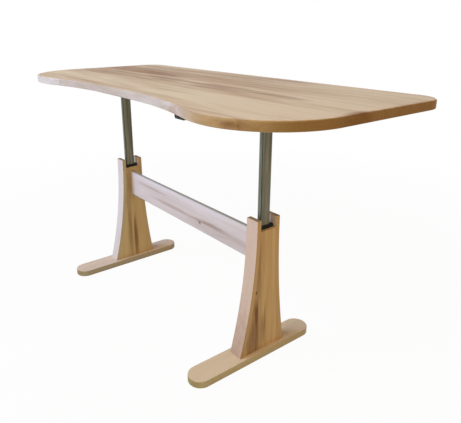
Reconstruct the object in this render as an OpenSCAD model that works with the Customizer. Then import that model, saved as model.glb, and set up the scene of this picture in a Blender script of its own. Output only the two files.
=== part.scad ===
// Height-adjustable desk: two hollow wooden columns on feet, joined by a stretcher.
// A steel tube rises out of each column and carries the shaped desktop.
// X runs along the desk, Y from the sitting side to the back, Z up from the floor.

/* [Desktop] */
// Length of the desktop
top_len = 2000; // [1800:10:2200]
// Thickness of the desktop
top_t = 34; // [28:1:40]
// Reach of the desktop in front of the column centre line
top_front = 408; // [380:1:430]
// Reach of the desktop behind the column centre line
top_back = 460; // [420:1:500]
// How far the middle of the front edge is set back
cut_depth = 80; // [60:1:100]
// Half length of the straight middle of the front edge
cut_half = 140; // [100:5:180]
// Share of the set-back edge that is the hollow curve
cut_share = 0.78; // [0.6:0.01:0.85]
// Radius of the two front corners
corner_r = 295; // [240:5:330]
// Radius of the two back corners
back_r = 100; // [60:5:120]
// Rounding of the upper edge
top_round = 8; // [4:1:10]
// Rounding of the lower edge
under_round = 4; // [2:1:6]

/* [Height] */
// Height of the desktop surface as the desk stands
height = 1108; // [1090:1:1125]
// How far the desktop can still rise from there
raise_left = 27; // [10:1:60]

/* [Feet] */
// Distance between the two column centres
leg_spacing = 1127; // [1050:1:1200]
// Length of a foot
foot_len = 648; // [600:1:700]
// Width of a foot
foot_w = 105; // [96:1:120]
// Thickness of a foot
foot_t = 32; // [28:1:40]
// How far the foot reaches further to the front than to the back
foot_lead = 95; // [60:1:120]
// Rounding along the edges of a foot
foot_round = 4; // [2:1:6]
// Diameter of a glide under a foot
glide_d = 30; // [24:1:36]
// Height that a glide stands out under the foot
glide_out = 2; // [1:0.5:4]
// Depth of a glide in the foot
glide_in = 5; // [4:0.5:8]
// Distance of a glide from the end of the foot
glide_inset = 60; // [50:1:80]

/* [Columns] */
// Height of a column above its foot
column_h = 599; // [590:1:610]
// Width of a column along the desk
column_w = 63; // [61:1:70]
// Depth of a column at its top
column_d = 120; // [114:1:130]
// Thickness of the curved front and back boards
board_t = 20; // [17:0.5:22]
// Thickness of the flat side boards
side_t = 15.5; // [14:0.5:15.5]
// Depth of the notch between the curved boards at the top
notch_d = 48; // [40:1:52]
// Straight part of the curved boards at the top
straight_h = 22; // [10:1:40]
// Spread of the front board at the foot
front_flare = 80; // [60:1:90]
// Spread of the back board at the foot
back_flare = 49; // [40:1:70]
// Glue gap between wooden pieces
glue_gap = 0.1; // [0.05:0.05:0.2]

/* [Stretcher] */
// Height of the stretcher board
stretcher_h = 142; // [120:1:160]
// Thickness of the stretcher board
stretcher_t = 20; // [18:1:26]
// Distance of the stretcher's top below the column top
stretcher_drop = 70; // [60:1:120]
// Rounding along the edges of the stretcher
stretcher_round = 8; // [2:0.5:9]
// Diameter of a stretcher dowel
dowel_d = 10; // [8:1:12]
// Length of a stretcher dowel
dowel_len = 44; // [36:1:60]
// Depth of a dowel in the column
dowel_in = 12; // [10:1:13]

/* [Lift tubes] */
// Width of a lift tube across the desk
tube_w = 50; // [50:1:51]
// Thickness of a lift tube along the desk
tube_d = 20; // [20:0.5:20.5]
// Wall of a lift tube
tube_wall = 2; // [1.5:0.1:2]
// Outer radius of the tubes' corners
tube_r = 3; // [2.5:0.1:4]
// Gap between a glide shoe and its collar at the highest setting
stop_gap = 25; // [5:1:60]
// Width of the guide tube inside the column
guide_w = 60; // [60:1:62]
// Thickness of the guide tube inside the column
guide_d = 30; // [30:0.5:30.5]
// Wall of the guide tube
guide_wall = 2; // [1.5:0.1:2]
// Running gap of the plastic guides
slide_gap = 0.3; // [0.3:0.05:0.5]
// Thickness of the collar round the lift tube
collar_t = 12; // [8:1:14]
// Depth of the collar's sleeve in the guide tube
collar_in = 48; // [40:1:60]
// Height of the glide shoe on the lift tube
shoe_h = 44; // [36:1:50]

/* [Frame under the desktop] */
// Width of the crossbeam
beam_w = 60; // [60:1:66]
// Height of the crossbeam
beam_h = 50; // [46:1:54]
// Wall of the crossbeam and the arms
beam_wall = 2.5; // [2:0.1:3]
// Overhang of the crossbeam past the column centre
beam_past = 30; // [30:1:36]
// Thickness of the crossbeam's end plates
end_plate_t = 4; // [3:0.5:5]
// Length of a supporting arm
arm_len = 540; // [500:5:560]
// Width of a supporting arm
arm_w = 40; // [36:1:46]
// Height of a supporting arm
arm_h = 40; // [34:1:41]
// Length of the sloped end of an arm
arm_slope = 70; // [40:1:90]
// Length of the arm's slots for the desktop screws
arm_slot = 16; // [12:1:20]

/* [Drive] */
// Distance of the tube's head plate top below the desktop
head_drop = 70; // [70:1:72]
// Thickness of the head plate
head_plate_t = 4; // [4:0.5:6]
// Length of a gear head along the desk
head_len = 62; // [60:1:66]
// Thickness of the gear head's lid
head_lid_t = 4; // [3:0.5:5]
// Outer diameter of the spindle bearing
bearing_d = 26; // [24:1:28]
// Height of the spindle bearing
bearing_h = 8; // [7:0.5:9]
// Diameter of a lift spindle
spindle_d = 10; // [9:0.5:10]
// How far a spindle reaches below its nut at the highest setting
spindle_past = 28; // [10:1:60]
// Outer diameter of the post that holds the nut
post_d = 14; // [13:0.5:14]
// Depth of the nut's lower end below the top of the flat side boards
nut_drop = 50; // [46:1:80]
// Length of the spindle nut
nut_h = 25; // [20:1:30]
// Thickness of the base plate in the column
base_plate_t = 5; // [4:0.5:6]
// Length of the base plate in the column
base_plate_len = 170; // [160:1:180]
// Number of teeth on each mitre gear
teeth = 16; // [16:1:16]
// Pitch diameter of the mitre gears
gear_d = 20; // [19:0.5:20]
// Face width of the mitre gears
gear_face = 6; // [5:0.5:6.5]
// Width across the flats of the drive shaft
hex_flats = 7; // [6:0.5:7]
// Outer diameter of the drive shaft's bushes
bush_d = 14; // [13:0.5:15]
// Running clearance round turning parts
run_gap = 0.05; // [0.03:0.01:0.08]
// Diameter of the motor
motor_d = 50; // [44:1:54]
// Length of the motor
motor_len = 105; // [90:1:120]
// Distance of the motor's axis below the drive shaft
motor_drop = 18; // [16:1:19]
// Length of the motor's gearbox along the desk
gearbox_len = 64; // [60:1:70]

/* [Electrics] */
// Length of the control box
box_len = 230; // [200:5:260]
// Width of the control box
box_w = 110; // [100:2:130]
// Height of the control box
box_h = 38; // [34:1:42]
// Wall of the control box
box_wall = 2; // [2:0.1:2.5]
// Length of the hand switch
switch_len = 60; // [56:1:70]
// Width of the hand switch
switch_w = 44; // [40:1:50]
// Height of the hand switch
switch_h = 17; // [16:0.5:20]
// Wall of the hand switch
switch_wall = 2; // [1.8:0.1:2.2]
// Distance of the hand switch from the middle of the desk
switch_x = 518; // [500:1:530]
// Distance of the hand switch's face behind the desktop's front
switch_back = 50; // [48:1:60]
// Length of a button
button_len = 16; // [14:1:18]
// Height of a button
button_h = 7; // [6:0.5:8]
// Travel of a button
button_travel = 1.2; // [0.8:0.1:1.5]

/* [Fasteners] */
// Diameter of the wood screws
screw_d = 5; // [4:0.5:5]
// Diameter of the machine bolts
bolt_d = 6; // [5:0.5:6]
// Play of a fastener in its hole
hole_play = 0.1; // [0.05:0.05:0.2]

/* [Hidden] */
$fn = 64;
// Facets of the long curves of the column boards
CURVE_FN = 720;
// Steps of one hollow or corner curve of the desktop
EDGE_STEPS = 22;
// Steps of the desktop's edge roundings
ROUND_STEPS = 5;
// A little more, so that cuts pass right through
OVER = 1;
// The two sides of the desk
LEFT = -1;
RIGHT = 1;
// Front and back
FRONT = -1;
BACK = 1;

// Places along the desk and across it
leg_x = leg_spacing / 2;
leg_y = (top_front - top_back) / 2;

// Heights, from the floor up
foot_top = glide_out + foot_t;
column_top = foot_top + column_h;
notch_z = column_top - notch_d;
flare_z = column_top - straight_h;
collar_top = notch_z + collar_t;
stretcher_top = column_top - stretcher_drop;
under_z = height - top_t;
base_top = foot_top + base_plate_t;

// Curves of the column boards
flare_h = flare_z - foot_top;
front_curve = (flare_h * flare_h + front_flare * front_flare) / (2 * front_flare);
back_curve = (flare_h * flare_h + back_flare * back_flare) / (2 * back_flare);
cavity_w = column_w - 2 * side_t;
cavity_d = column_d - 2 * board_t;

// Drive heights
head_z = under_z - head_drop;
plate_z = head_z - head_plate_t;
lip_t = 2;
gear_r = gear_d / 2;
gear_base = head_z + bearing_h + lip_t + 1;
gear_hub_h = 9;
shaft_z = gear_base + gear_hub_h + gear_r;
head_top = under_z - beam_wall - head_lid_t;
head_outer = beam_past - end_plate_t - 1;
head_inner = head_len - head_outer;
hex_r = hex_flats / 2 / cos(30);
nut_z = notch_z - nut_drop;
spindle_bottom = nut_z - raise_left - spindle_past;
arm_x = leg_x + beam_past + arm_w / 2;
arm_y = leg_y + (top_back - top_front) / 2;

// Moves its children to one column's centre line, with local X towards the middle of the desk.
module at_leg(side) {
    translate([side * leg_x, leg_y, 0]) mirror([side == RIGHT ? 1 : 0, 0, 0]) children();
}

// Extrudes a drawing in Y and Z along X.
module along_x(length) {
    rotate([90, 0, 90]) linear_extrude(length) children();
}

// Block centred on Y and X, standing at a height.
module block(size, z) {
    translate([-size[0] / 2, -size[1] / 2, z]) cube(size);
}

// The same with rounded upright corners.
module round_block(size, z, r) {
    translate([0, 0, z]) linear_extrude(size[2]) round_rect(size[0], size[1], r);
}

// Upright hole or pin.
module upright(x, y, z, r, h) {
    translate([x, y, z]) cylinder(r = r, h = h);
}

// Pin or hole along X.
module lying_x(x, y, z, r, h) {
    translate([x, y, z]) rotate([0, 90, 0]) cylinder(r = r, h = h);
}

// Pin or hole along Y.
module lying_y(x, y, z, r, h) {
    translate([x, y, z]) rotate([-90, 0, 0]) cylinder(r = r, h = h);
}

// Rectangle with rounded corners, from its middle.
module round_rect(w, h, r) {
    square([w - 2 * r, h], center = true);
    square([w, h - 2 * r], center = true);
    for (sx = [-1, 1]) {
        for (sy = [-1, 1]) {
            translate([sx * (w / 2 - r), sy * (h / 2 - r)]) circle(r);
        }
    }
}

// Desktop

edge_front = leg_y - top_front;
edge_middle = edge_front + cut_depth;
edge_back = leg_y + top_back;
corner_x = top_len / 2 - corner_r;
bend_run = corner_x - cut_half;
bend_turn = 2 * atan(cut_depth / bend_run);
bend_sum = bend_run / sin(bend_turn);
hollow_r = bend_sum * cut_share;
swell_r = bend_sum - hollow_r;

// Points of an arc, without its first point where it follows another arc.
function arc(cx, cy, r, a0, a1, n, first) =
    [for (i = [first:n]) [cx + r * cos(a0 + (a1 - a0) * i / n), cy + r * sin(a0 + (a1 - a0) * i / n)]];

// Right half of the outline, drawn in from the true edge by an inset.
function half_outline(inset) = concat(
    arc(cut_half, edge_middle - hollow_r, hollow_r + inset, 90, 90 - bend_turn, EDGE_STEPS, 0),
    arc(corner_x, edge_front + swell_r, swell_r - inset, 270 - bend_turn, 270, EDGE_STEPS, 1),
    arc(corner_x, edge_front + corner_r, corner_r - inset, 270, 360, EDGE_STEPS, 1),
    arc(top_len / 2 - back_r, edge_back - back_r, back_r - inset, 0, 90, EDGE_STEPS / 2, 0)
);

// Whole outline at one height.
function ring(inset, z) =
    let (half = half_outline(inset), n = len(half))
    concat(
        [for (i = [0:n - 1]) [half[i][0], half[i][1], z]],
        [for (i = [n - 1:-1:0]) [-half[i][0], half[i][1], z]]
    );

// Insets and heights of the rings, up the edge.
edge_levels = concat(
    [for (i = [0:ROUND_STEPS]) let (a = 90 * i / ROUND_STEPS)
        [under_round * (1 - sin(a)), under_z + under_round * (1 - cos(a))]],
    [for (i = [0:ROUND_STEPS]) let (a = 90 * i / ROUND_STEPS)
        [top_round * (1 - cos(a)), height - top_round * (1 - sin(a))]]
);

// Solid slab with rounded edges.
module desktop_slab() {
    rings = [for (level = edge_levels) ring(level[0], level[1])];
    n = len(rings[0]);
    m = len(rings);
    polyhedron(
        points = [for (r = rings) for (p = r) p],
        faces = concat(
            [[for (i = [0:n - 1]) i]],
            [for (k = [0:m - 2]) for (i = [0:n - 1])
                [k * n + i, (k + 1) * n + i, (k + 1) * n + (i + 1) % n]],
            [for (k = [0:m - 2]) for (i = [0:n - 1])
                [k * n + i, (k + 1) * n + (i + 1) % n, k * n + (i + 1) % n]],
            [[for (i = [n - 1:-1:0]) (m - 1) * n + i]]
        )
    );
}

module desktop() {
    color([0.80, 0.70, 0.58])
    difference() {
        desktop_slab();
        for (s = desktop_screw_spots) {
            upright(s[0], s[1], under_z - OVER, screw_d / 2 + hole_play, screw_in + 2 * OVER);
        }
    }
}

// Feet

foot_y = leg_y - foot_lead / 2;
glide_y = [foot_y - foot_len / 2 + glide_inset, foot_y + foot_len / 2 - glide_inset];
column_screw_x = column_w / 4;
column_screw_up = 40;
column_screw_sunk = 10;
screw_head_r = screw_d;
screw_head_h = 3;

// Distance of a curved board's outer face from the column centre line, at a height.
function board_face(z, curve) = column_d / 2 + curve - sqrt(curve * curve - (flare_z - z) * (flare_z - z));

column_screw_y = [
    -board_face(foot_top + column_screw_up / 2, front_curve) + board_t / 2,
    board_face(foot_top + column_screw_up / 2, back_curve) - board_t / 2
];
base_screw_y = base_plate_len / 2 - 15;
base_screw_in = 22;

// Slab with half-round ends and rounded edges, lying along Y.
module stadium_slab(length, w, t, r) {
    end_y = length / 2 - w / 2;
    rotate([90, 0, 0]) linear_extrude(2 * end_y, center = true) round_rect(w, t, r);
    for (side = [FRONT, BACK]) {
        translate([0, side * end_y, 0]) rotate_extrude() intersection() {
            round_rect(w, t, r);
            translate([0, -t]) square([w, 2 * t]);
        }
    }
}

module foot(side) {
    color([0.78, 0.68, 0.53])
    difference() {
        translate([side * leg_x, foot_y, glide_out + foot_t / 2]) stadium_slab(foot_len, foot_w, foot_t, foot_round);
        for (y = glide_y) {
            upright(side * leg_x, y, glide_out - OVER, glide_d / 2 + hole_play, glide_in + OVER);
        }
        at_leg(side) column_screw_holes();
        at_leg(side) for (y = [-base_screw_y, base_screw_y]) {
            upright(0, y, foot_top - base_screw_in - OVER, screw_d / 2 + hole_play, base_screw_in + 2 * OVER);
        }
    }
}

module foot_left() { foot(LEFT); }
module foot_right() { foot(RIGHT); }

module foot_glides() {
    color([0.20, 0.20, 0.20])
    for (side = [LEFT, RIGHT]) {
        for (y = glide_y) {
            upright(side * leg_x, y, 0, glide_d / 2, glide_out + glide_in);
        }
    }
}

// Wood screw pointing up, its head's top at z.
module wood_screw(x, y, z, length) {
    upright(x, y, z - screw_head_h, screw_head_r, screw_head_h);
    upright(x, y, z - OVER, screw_d / 2, length + OVER);
}

module column_screw_holes() {
    for (x = [-column_screw_x, column_screw_x]) {
        for (y = column_screw_y) {
            upright(x, y, glide_out - OVER, screw_d / 2 + hole_play, foot_t + column_screw_up + 2 * OVER);
            upright(x, y, glide_out - OVER, screw_head_r + hole_play, column_screw_sunk + OVER);
        }
    }
}

module foot_screws() {
    color([0.60, 0.60, 0.60])
    for (side = [LEFT, RIGHT]) {
        at_leg(side) {
            for (x = [-column_screw_x, column_screw_x]) {
                for (y = column_screw_y) {
                    wood_screw(x, y, glide_out + column_screw_sunk, foot_t - column_screw_sunk + column_screw_up);
                }
            }
            for (y = [-base_screw_y, base_screw_y]) {
                translate([0, y, base_top]) mirror([0, 0, 1]) wood_screw(0, 0, 0, base_plate_t + base_screw_in);
            }
        }
    }
}

// Columns

// Side view of a curved board in front of the centre line.
module curved_board_view(curve, flare) {
    intersection() {
        difference() {
            translate([-column_d / 2 - curve, flare_z]) circle(curve + board_t, $fn = CURVE_FN);
            translate([-column_d / 2 - curve, flare_z]) circle(curve, $fn = CURVE_FN);
        }
        translate([-column_d / 2 - 2 * flare, foot_top]) square([2 * flare + 2 * board_t, flare_h]);
    }
    translate([-column_d / 2, flare_z]) square([board_t, straight_h]);
}

module curved_board(side, face, curve, flare) {
    color([0.82, 0.74, 0.66])
    difference() {
        at_leg(side) translate([-column_w / 2, 0, 0]) along_x(column_w)
            mirror([face == BACK ? 1 : 0, 0]) curved_board_view(curve, flare);
        at_leg(side) column_screw_holes();
    }
}

module front_board_left() { curved_board(LEFT, FRONT, front_curve, front_flare); }
module front_board_right() { curved_board(RIGHT, FRONT, front_curve, front_flare); }
module back_board_left() { curved_board(LEFT, BACK, back_curve, back_flare); }
module back_board_right() { curved_board(RIGHT, BACK, back_curve, back_flare); }

// Side view of a flat side board, which fits between the curved boards.
module side_board_view() {
    difference() {
        translate([-column_d / 2 - front_flare, foot_top])
            square([column_d + front_flare + back_flare, notch_z - foot_top]);
        translate([-column_d / 2 - front_curve, flare_z])
            circle(front_curve + board_t + glue_gap, $fn = CURVE_FN);
        translate([column_d / 2 + back_curve, flare_z])
            circle(back_curve + board_t + glue_gap, $fn = CURVE_FN);
    }
}

module side_board(side, x) {
    color([0.70, 0.55, 0.37])
    at_leg(side) translate([x, 0, 0]) along_x(side_t) side_board_view();
}

// Dowel holes or dowels at one end of the stretcher, in local places.
module dowel_set(play) {
    for (z = [-stretcher_h / 4, stretcher_h / 4]) {
        lying_x(column_w / 2 - dowel_in - play, 0, stretcher_mid + z, dowel_d / 2 + play, dowel_len + 2 * play);
    }
}

module inner_board(side) {
    difference() {
        side_board(side, column_w / 2 - side_t);
        color([0.70, 0.55, 0.37]) at_leg(side) dowel_set(glue_gap);
    }
}

module inner_board_left() { inner_board(LEFT); }
module inner_board_right() { inner_board(RIGHT); }
module outer_board_left() { side_board(LEFT, -column_w / 2); }
module outer_board_right() { side_board(RIGHT, -column_w / 2); }

// Stretcher

stretcher_mid = stretcher_top - stretcher_h / 2;

module stretcher() {
    length = leg_spacing - column_w;
    color([0.80, 0.76, 0.76])
    difference() {
        translate([-length / 2, leg_y, stretcher_mid]) along_x(length)
            round_rect(stretcher_t, stretcher_h, stretcher_round);
        for (side = [LEFT, RIGHT]) {
            at_leg(side) dowel_set(glue_gap);
        }
    }
}

module stretcher_dowels() {
    color([0.75, 0.62, 0.45])
    for (side = [LEFT, RIGHT]) {
        at_leg(side) dowel_set(0);
    }
}

// Guides inside the columns

guide_in_w = guide_w - 2 * guide_wall;
guide_in_d = guide_d - 2 * guide_wall;
tube_in_w = tube_w - 2 * tube_wall;
tube_in_d = tube_d - 2 * tube_wall;
fit_gap = 0.05;

module guide_tube(side) {
    color([0.62, 0.62, 0.60])
    at_leg(side) difference() {
        round_block([guide_d, guide_w, notch_z - base_top], base_top, tube_r);
        round_block([guide_in_d, guide_in_w, notch_z - base_top + 2 * OVER], base_top - OVER, tube_r - guide_wall);
    }
}

module guide_tube_left() { guide_tube(LEFT); }
module guide_tube_right() { guide_tube(RIGHT); }

module guide_collar(side) {
    color([0.08, 0.08, 0.08])
    at_leg(side) difference() {
        union() {
            block([cavity_w - 2 * slide_gap, cavity_d - 2 * slide_gap, collar_t], notch_z);
            round_block([guide_in_d - 2 * fit_gap, guide_in_w - 2 * fit_gap, collar_in + OVER], notch_z - collar_in,
                tube_r - guide_wall + fit_gap);
        }
        round_block([tube_d + 2 * slide_gap, tube_w + 2 * slide_gap, collar_t + collar_in + 2 * OVER],
            notch_z - collar_in - OVER, tube_r + slide_gap);
    }
}

module guide_collar_left() { guide_collar(LEFT); }
module guide_collar_right() { guide_collar(RIGHT); }

// Post that holds the spindle nut, welded on its base plate.
module nut_post(side) {
    color([0.55, 0.55, 0.55])
    at_leg(side) difference() {
        union() {
            block([guide_d, base_plate_len, base_plate_t], foot_top);
            upright(0, 0, foot_top, post_d / 2, nut_z - foot_top);
        }
        upright(0, 0, base_top, spindle_d / 2 + post_play, nut_z - base_top + OVER);
        for (y = [-base_screw_y, base_screw_y]) {
            upright(0, y, foot_top - OVER, screw_d / 2 + hole_play, base_plate_t + 2 * OVER);
        }
    }
}

post_play = 0.5;

module nut_post_left() { nut_post(LEFT); }
module nut_post_right() { nut_post(RIGHT); }

module spindle_nut(side) {
    color([0.75, 0.62, 0.35])
    at_leg(side) difference() {
        upright(0, 0, nut_z, post_d / 2, nut_h);
        upright(0, 0, nut_z - OVER, spindle_d / 2 + run_gap, nut_h + 2 * OVER);
    }
}

module spindle_nut_left() { spindle_nut(LEFT); }
module spindle_nut_right() { spindle_nut(RIGHT); }

// Lift tubes

head_screw_at = 18;
head_screw_in = 10;
shoe_lip = 4;
tube_bottom = notch_z - collar_in - stop_gap - raise_left - shoe_h + shoe_lip;
tube_len = plate_z - tube_bottom;
shoulder_r = spindle_d / 2 + 2;

// Lift tube with its head plate welded on.
module lift_tube(side) {
    color([0.55, 0.55, 0.48])
    at_leg(side) difference() {
        union() {
            round_block([tube_d, tube_w, tube_len + OVER], tube_bottom, tube_r);
            translate([-head_outer, -head_w / 2, plate_z]) cube([head_len, head_w, head_plate_t]);
        }
        round_block([tube_in_d, tube_in_w, tube_len + OVER], tube_bottom - OVER, tube_r - tube_wall);
        upright(0, 0, plate_z - 2 * OVER, shoulder_r + 1, head_plate_t + 3 * OVER);
        head_screw_spots() upright(0, 0, plate_z - OVER, screw_d / 2 + hole_play, head_plate_t + 2 * OVER);
    }
}

// Repeats its children at the four screws of a head plate.
module head_screw_spots() {
    for (x = [-head_screw_at, head_screw_at]) {
        for (y = [-head_screw_at, head_screw_at]) {
            translate([x, y, 0]) children();
        }
    }
}

module lift_tube_left() { lift_tube(LEFT); }
module lift_tube_right() { lift_tube(RIGHT); }

module glide_shoe(side) {
    color([0.10, 0.10, 0.10])
    at_leg(side) difference() {
        round_block([guide_in_d - 2 * slide_gap, guide_in_w - 2 * slide_gap, shoe_h], tube_bottom - shoe_lip,
            tube_r - guide_wall + slide_gap);
        round_block([tube_in_d, tube_in_w, shoe_h], tube_bottom - shoe_lip - OVER, tube_r - tube_wall);
        round_block([tube_d + 2 * fit_gap, tube_w + 2 * fit_gap, shoe_h], tube_bottom, tube_r + fit_gap);
    }
}

module glide_shoe_left() { glide_shoe(LEFT); }
module glide_shoe_right() { glide_shoe(RIGHT); }

// Frame under the desktop

beam_half = leg_x + beam_past;
beam_in = beam_w / 2 - beam_wall;
arm_bolt_y = 18;
arm_bolt_z = under_z - arm_h / 2 - 2;
arm_screw_step = arm_len / 2 - arm_slope - 30;
beam_screw_step = 200;
side_bolt_z = under_z - 16;
side_bolt_in = 9;
side_bolt_x = gearbox_len / 2 - 8;
bolt_head_h = 4;
bolt_head_r = bolt_d * 0.9;
screw_in = 22;
box_x = 300;
box_y = leg_y + beam_w / 2 + 40 + box_w / 2;
lug_len = 16;
lug_w = 40;
lug_t = 3;
switch_y = edge_front + switch_back + switch_w / 2;
switch_screw_x = switch_len / 2 - 12;
switch_plate_t = 2;

// Where wood screws enter the desktop: X, Y and the thickness that they grip.
arm_screw_spots = [for (side = [LEFT, RIGHT]) for (k = [-1:1]) [side * arm_x, arm_y + k * arm_screw_step, beam_wall]];
beam_screw_spots = [for (side = [LEFT, RIGHT]) for (k = [1:2]) [side * k * beam_screw_step, leg_y, beam_wall]];
box_screw_spots = [for (side = [LEFT, RIGHT]) [box_x + side * (box_len + lug_len) / 2, box_y, lug_t]];
switch_screw_spots = [for (side = [LEFT, RIGHT]) [switch_x + side * switch_screw_x, switch_y, switch_plate_t]];
desktop_screw_spots = concat(arm_screw_spots, beam_screw_spots, box_screw_spots, switch_screw_spots);

// Channel open at the bottom, along X, its top at the desktop.
module channel_x(length, w, h, wall) {
    translate([-length / 2, -w / 2, under_z - h]) difference() {
        cube([length, w, h]);
        translate([-OVER, wall, -OVER]) cube([length + 2 * OVER, w - 2 * wall, h - wall + OVER]);
    }
}

// Repeats its children at the bolts through the crossbeam's sides, turned towards its middle.
module side_bolt_spots() {
    for (side = [LEFT, RIGHT]) {
        for (x = [-head_screw_at, head_screw_at]) {
            translate([side * leg_x + x, leg_y, side_bolt_z]) both_flanges() children();
        }
        translate([side * side_bolt_x, leg_y, side_bolt_z]) both_flanges() children();
    }
}

module both_flanges() {
    for (turn = [0, 180]) {
        rotate([0, 0, turn]) translate([0, -beam_w / 2, 0]) children();
    }
}

module crossbeam() {
    color([0.12, 0.12, 0.12])
    difference() {
        union() {
            translate([0, leg_y, 0]) channel_x(2 * beam_half, beam_w, beam_h, beam_wall);
            for (side = [LEFT, RIGHT]) {
                translate([side * (beam_half - end_plate_t / 2) - end_plate_t / 2, leg_y - beam_w / 2, under_z - beam_h])
                    cube([end_plate_t, beam_w, beam_h]);
            }
        }
        for (s = beam_screw_spots) {
            upright(s[0], s[1], under_z - beam_wall - OVER, screw_d / 2 + hole_play, beam_wall + 2 * OVER);
        }
        side_bolt_spots() lying_y(0, -OVER, 0, bolt_d / 2 + hole_play, beam_wall + 2 * OVER);
        arm_bolt_spots() lying_x(-OVER, 0, 0, bolt_d / 2 + hole_play, end_plate_t + 2 * OVER);
        // Room for the motor in the back flange
        translate([-motor_d / 2 - 2, leg_y, under_z - beam_h - OVER])
            cube([motor_d + 4, beam_w, motor_z + motor_d / 2 + 2 - under_z + beam_h + OVER]);
    }
}

// Repeats its children at the bolts between the crossbeam and the arms, from the plate's inner face outwards.
module arm_bolt_spots() {
    for (side = [LEFT, RIGHT]) {
        for (y = [-arm_bolt_y, arm_bolt_y]) {
            translate([0, leg_y + y, arm_bolt_z]) mirror([side == LEFT ? 1 : 0, 0, 0])
                translate([beam_half - end_plate_t, 0, 0]) children();
        }
    }
}

// Slotted screw hole along Y.
module slot_y(x, y, z, r, length, h) {
    run = length / 2 - r;
    for (end = [-run, run]) {
        upright(x, y + end, z, r, h);
    }
    translate([x - r, y - run, z]) cube([2 * r, 2 * run, h]);
}

module arm(side) {
    low = arm_h - 15;
    color([0.12, 0.12, 0.12])
    difference() {
        translate([side * arm_x, arm_y, 0]) rotate([0, 0, 90]) channel_x(arm_len, arm_w, arm_h, beam_wall);
        for (end = [FRONT, BACK]) {
            translate([side * arm_x - arm_w / 2 - OVER, arm_y, under_z - arm_h]) along_x(arm_w + 2 * OVER)
                polygon([[end * arm_len / 2, low], [end * (arm_len / 2 - arm_slope), 0],
                    [end * (arm_len / 2 - arm_slope), -OVER], [end * (arm_len / 2 + OVER), -OVER],
                    [end * (arm_len / 2 + OVER), low]]);
        }
        for (s = arm_screw_spots) {
            slot_y(s[0], s[1], under_z - beam_wall - OVER, screw_d / 2 + hole_play, arm_slot, beam_wall + 2 * OVER);
        }
        arm_bolt_spots() lying_x(end_plate_t - OVER, 0, 0, bolt_d / 2 + hole_play, beam_wall + 2 * OVER);
    }
}

module arm_left() { arm(LEFT); }
module arm_right() { arm(RIGHT); }

module arm_bolts() {
    color([0.70, 0.70, 0.70])
    arm_bolt_spots() {
        lying_x(0, 0, 0, bolt_d / 2, end_plate_t + beam_wall + OVER);
        lying_x(end_plate_t + beam_wall, 0, 0, bolt_head_r, bolt_head_h);
    }
}

module desktop_screws() {
    color([0.70, 0.70, 0.70])
    for (s = desktop_screw_spots) {
        wood_screw(s[0], s[1], under_z - s[2], screw_in + s[2]);
    }
}

// Gear heads at the tops of the lift tubes

head_w = 2 * (beam_in - glue_gap);
head_h = head_top - head_z;
lid_screw_at = 22;
chamber_z = head_z + bearing_h + lip_t;
chamber_y = gear_r + 3;
chamber_in = gear_r + gear_hub_h + 2;
bush_len = 12;

module gear_head(side) {
    color([0.45, 0.46, 0.48])
    at_leg(side) difference() {
        translate([-head_outer, -head_w / 2, head_z]) cube([head_len, head_w, head_h]);
        upright(0, 0, head_z - OVER, bearing_d / 2 + fit_gap, bearing_h + OVER);
        upright(0, 0, head_z, shoulder_r + 1, bearing_h + lip_t + OVER);
        translate([-chamber_y, -chamber_y, chamber_z]) cube([chamber_y + chamber_in, 2 * chamber_y, head_h]);
        lying_x(0, 0, shaft_z, hex_r + 1, head_len);
        lying_x(head_inner - bush_len, 0, shaft_z, bush_d / 2 + fit_gap, bush_len + OVER);
        head_screw_spots() upright(0, 0, head_z - OVER, screw_d / 2 + hole_play, head_screw_in + 2 * OVER);
        for (x = [-head_screw_at, head_screw_at]) {
            translate([x, 0, side_bolt_z]) both_flanges()
                lying_y(0, 0, 0, bolt_d / 2 + hole_play, beam_wall + side_bolt_in + OVER);
        }
    }
}

module gear_head_left() { gear_head(LEFT); }
module gear_head_right() { gear_head(RIGHT); }

module gear_head_lids() {
    color([0.45, 0.46, 0.48])
    for (side = [LEFT, RIGHT]) {
        at_leg(side) translate([-head_outer, -head_w / 2, head_top]) cube([head_len, head_w, head_lid_t]);
    }
}

module gear_head_screws() {
    color([0.70, 0.70, 0.70]) {
        for (side = [LEFT, RIGHT]) {
            at_leg(side) head_screw_spots() wood_screw(0, 0, plate_z, head_plate_t + head_screw_in);
        }
        side_bolt_spots() {
            lying_y(0, -bolt_head_h, 0, bolt_head_r, bolt_head_h);
            lying_y(0, -OVER, 0, bolt_d / 2, beam_wall + side_bolt_in + OVER);
        }
    }
}

// Ball bearing as one ring, with the race grooves in its faces.
module spindle_bearing(side) {
    inner = spindle_d / 2 + run_gap;
    outer = bearing_d / 2;
    third = (outer - inner) / 3;
    color([0.75, 0.75, 0.77])
    at_leg(side) translate([0, 0, head_z]) rotate_extrude() difference() {
        translate([inner, 0]) square([outer - inner, bearing_h]);
        for (z = [-OVER, bearing_h - 1]) {
            translate([inner + third, z]) square([third, 1 + OVER]);
        }
    }
}

module spindle_bearing_left() { spindle_bearing(LEFT); }
module spindle_bearing_right() { spindle_bearing(RIGHT); }

// Spindles and mitre gears

seat_r = spindle_d / 2 - 1;
tooth_angle = 360 / teeth;
gear_module = gear_d / teeth;
addendum = gear_module * 0.55;
dedendum = gear_module * 0.85;
cone_len = gear_r * sqrt(2);
small_share = (cone_len - gear_face) / cone_len;
root_angle = atan((gear_r - dedendum / sqrt(2)) / (gear_r + dedendum / sqrt(2)));
gap_angle = 2.6;
flank_angle = 20;

module spindle(side) {
    top = shaft_z - gear_r * small_share;
    color([0.70, 0.70, 0.72])
    at_leg(side) {
        upright(0, 0, spindle_bottom, spindle_d / 2, head_z + bearing_h + lip_t + 1 - spindle_bottom);
        upright(0, 0, plate_z, shoulder_r, head_plate_t - run_gap);
        upright(0, 0, plate_z, seat_r, top - plate_z);
    }
}

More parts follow.
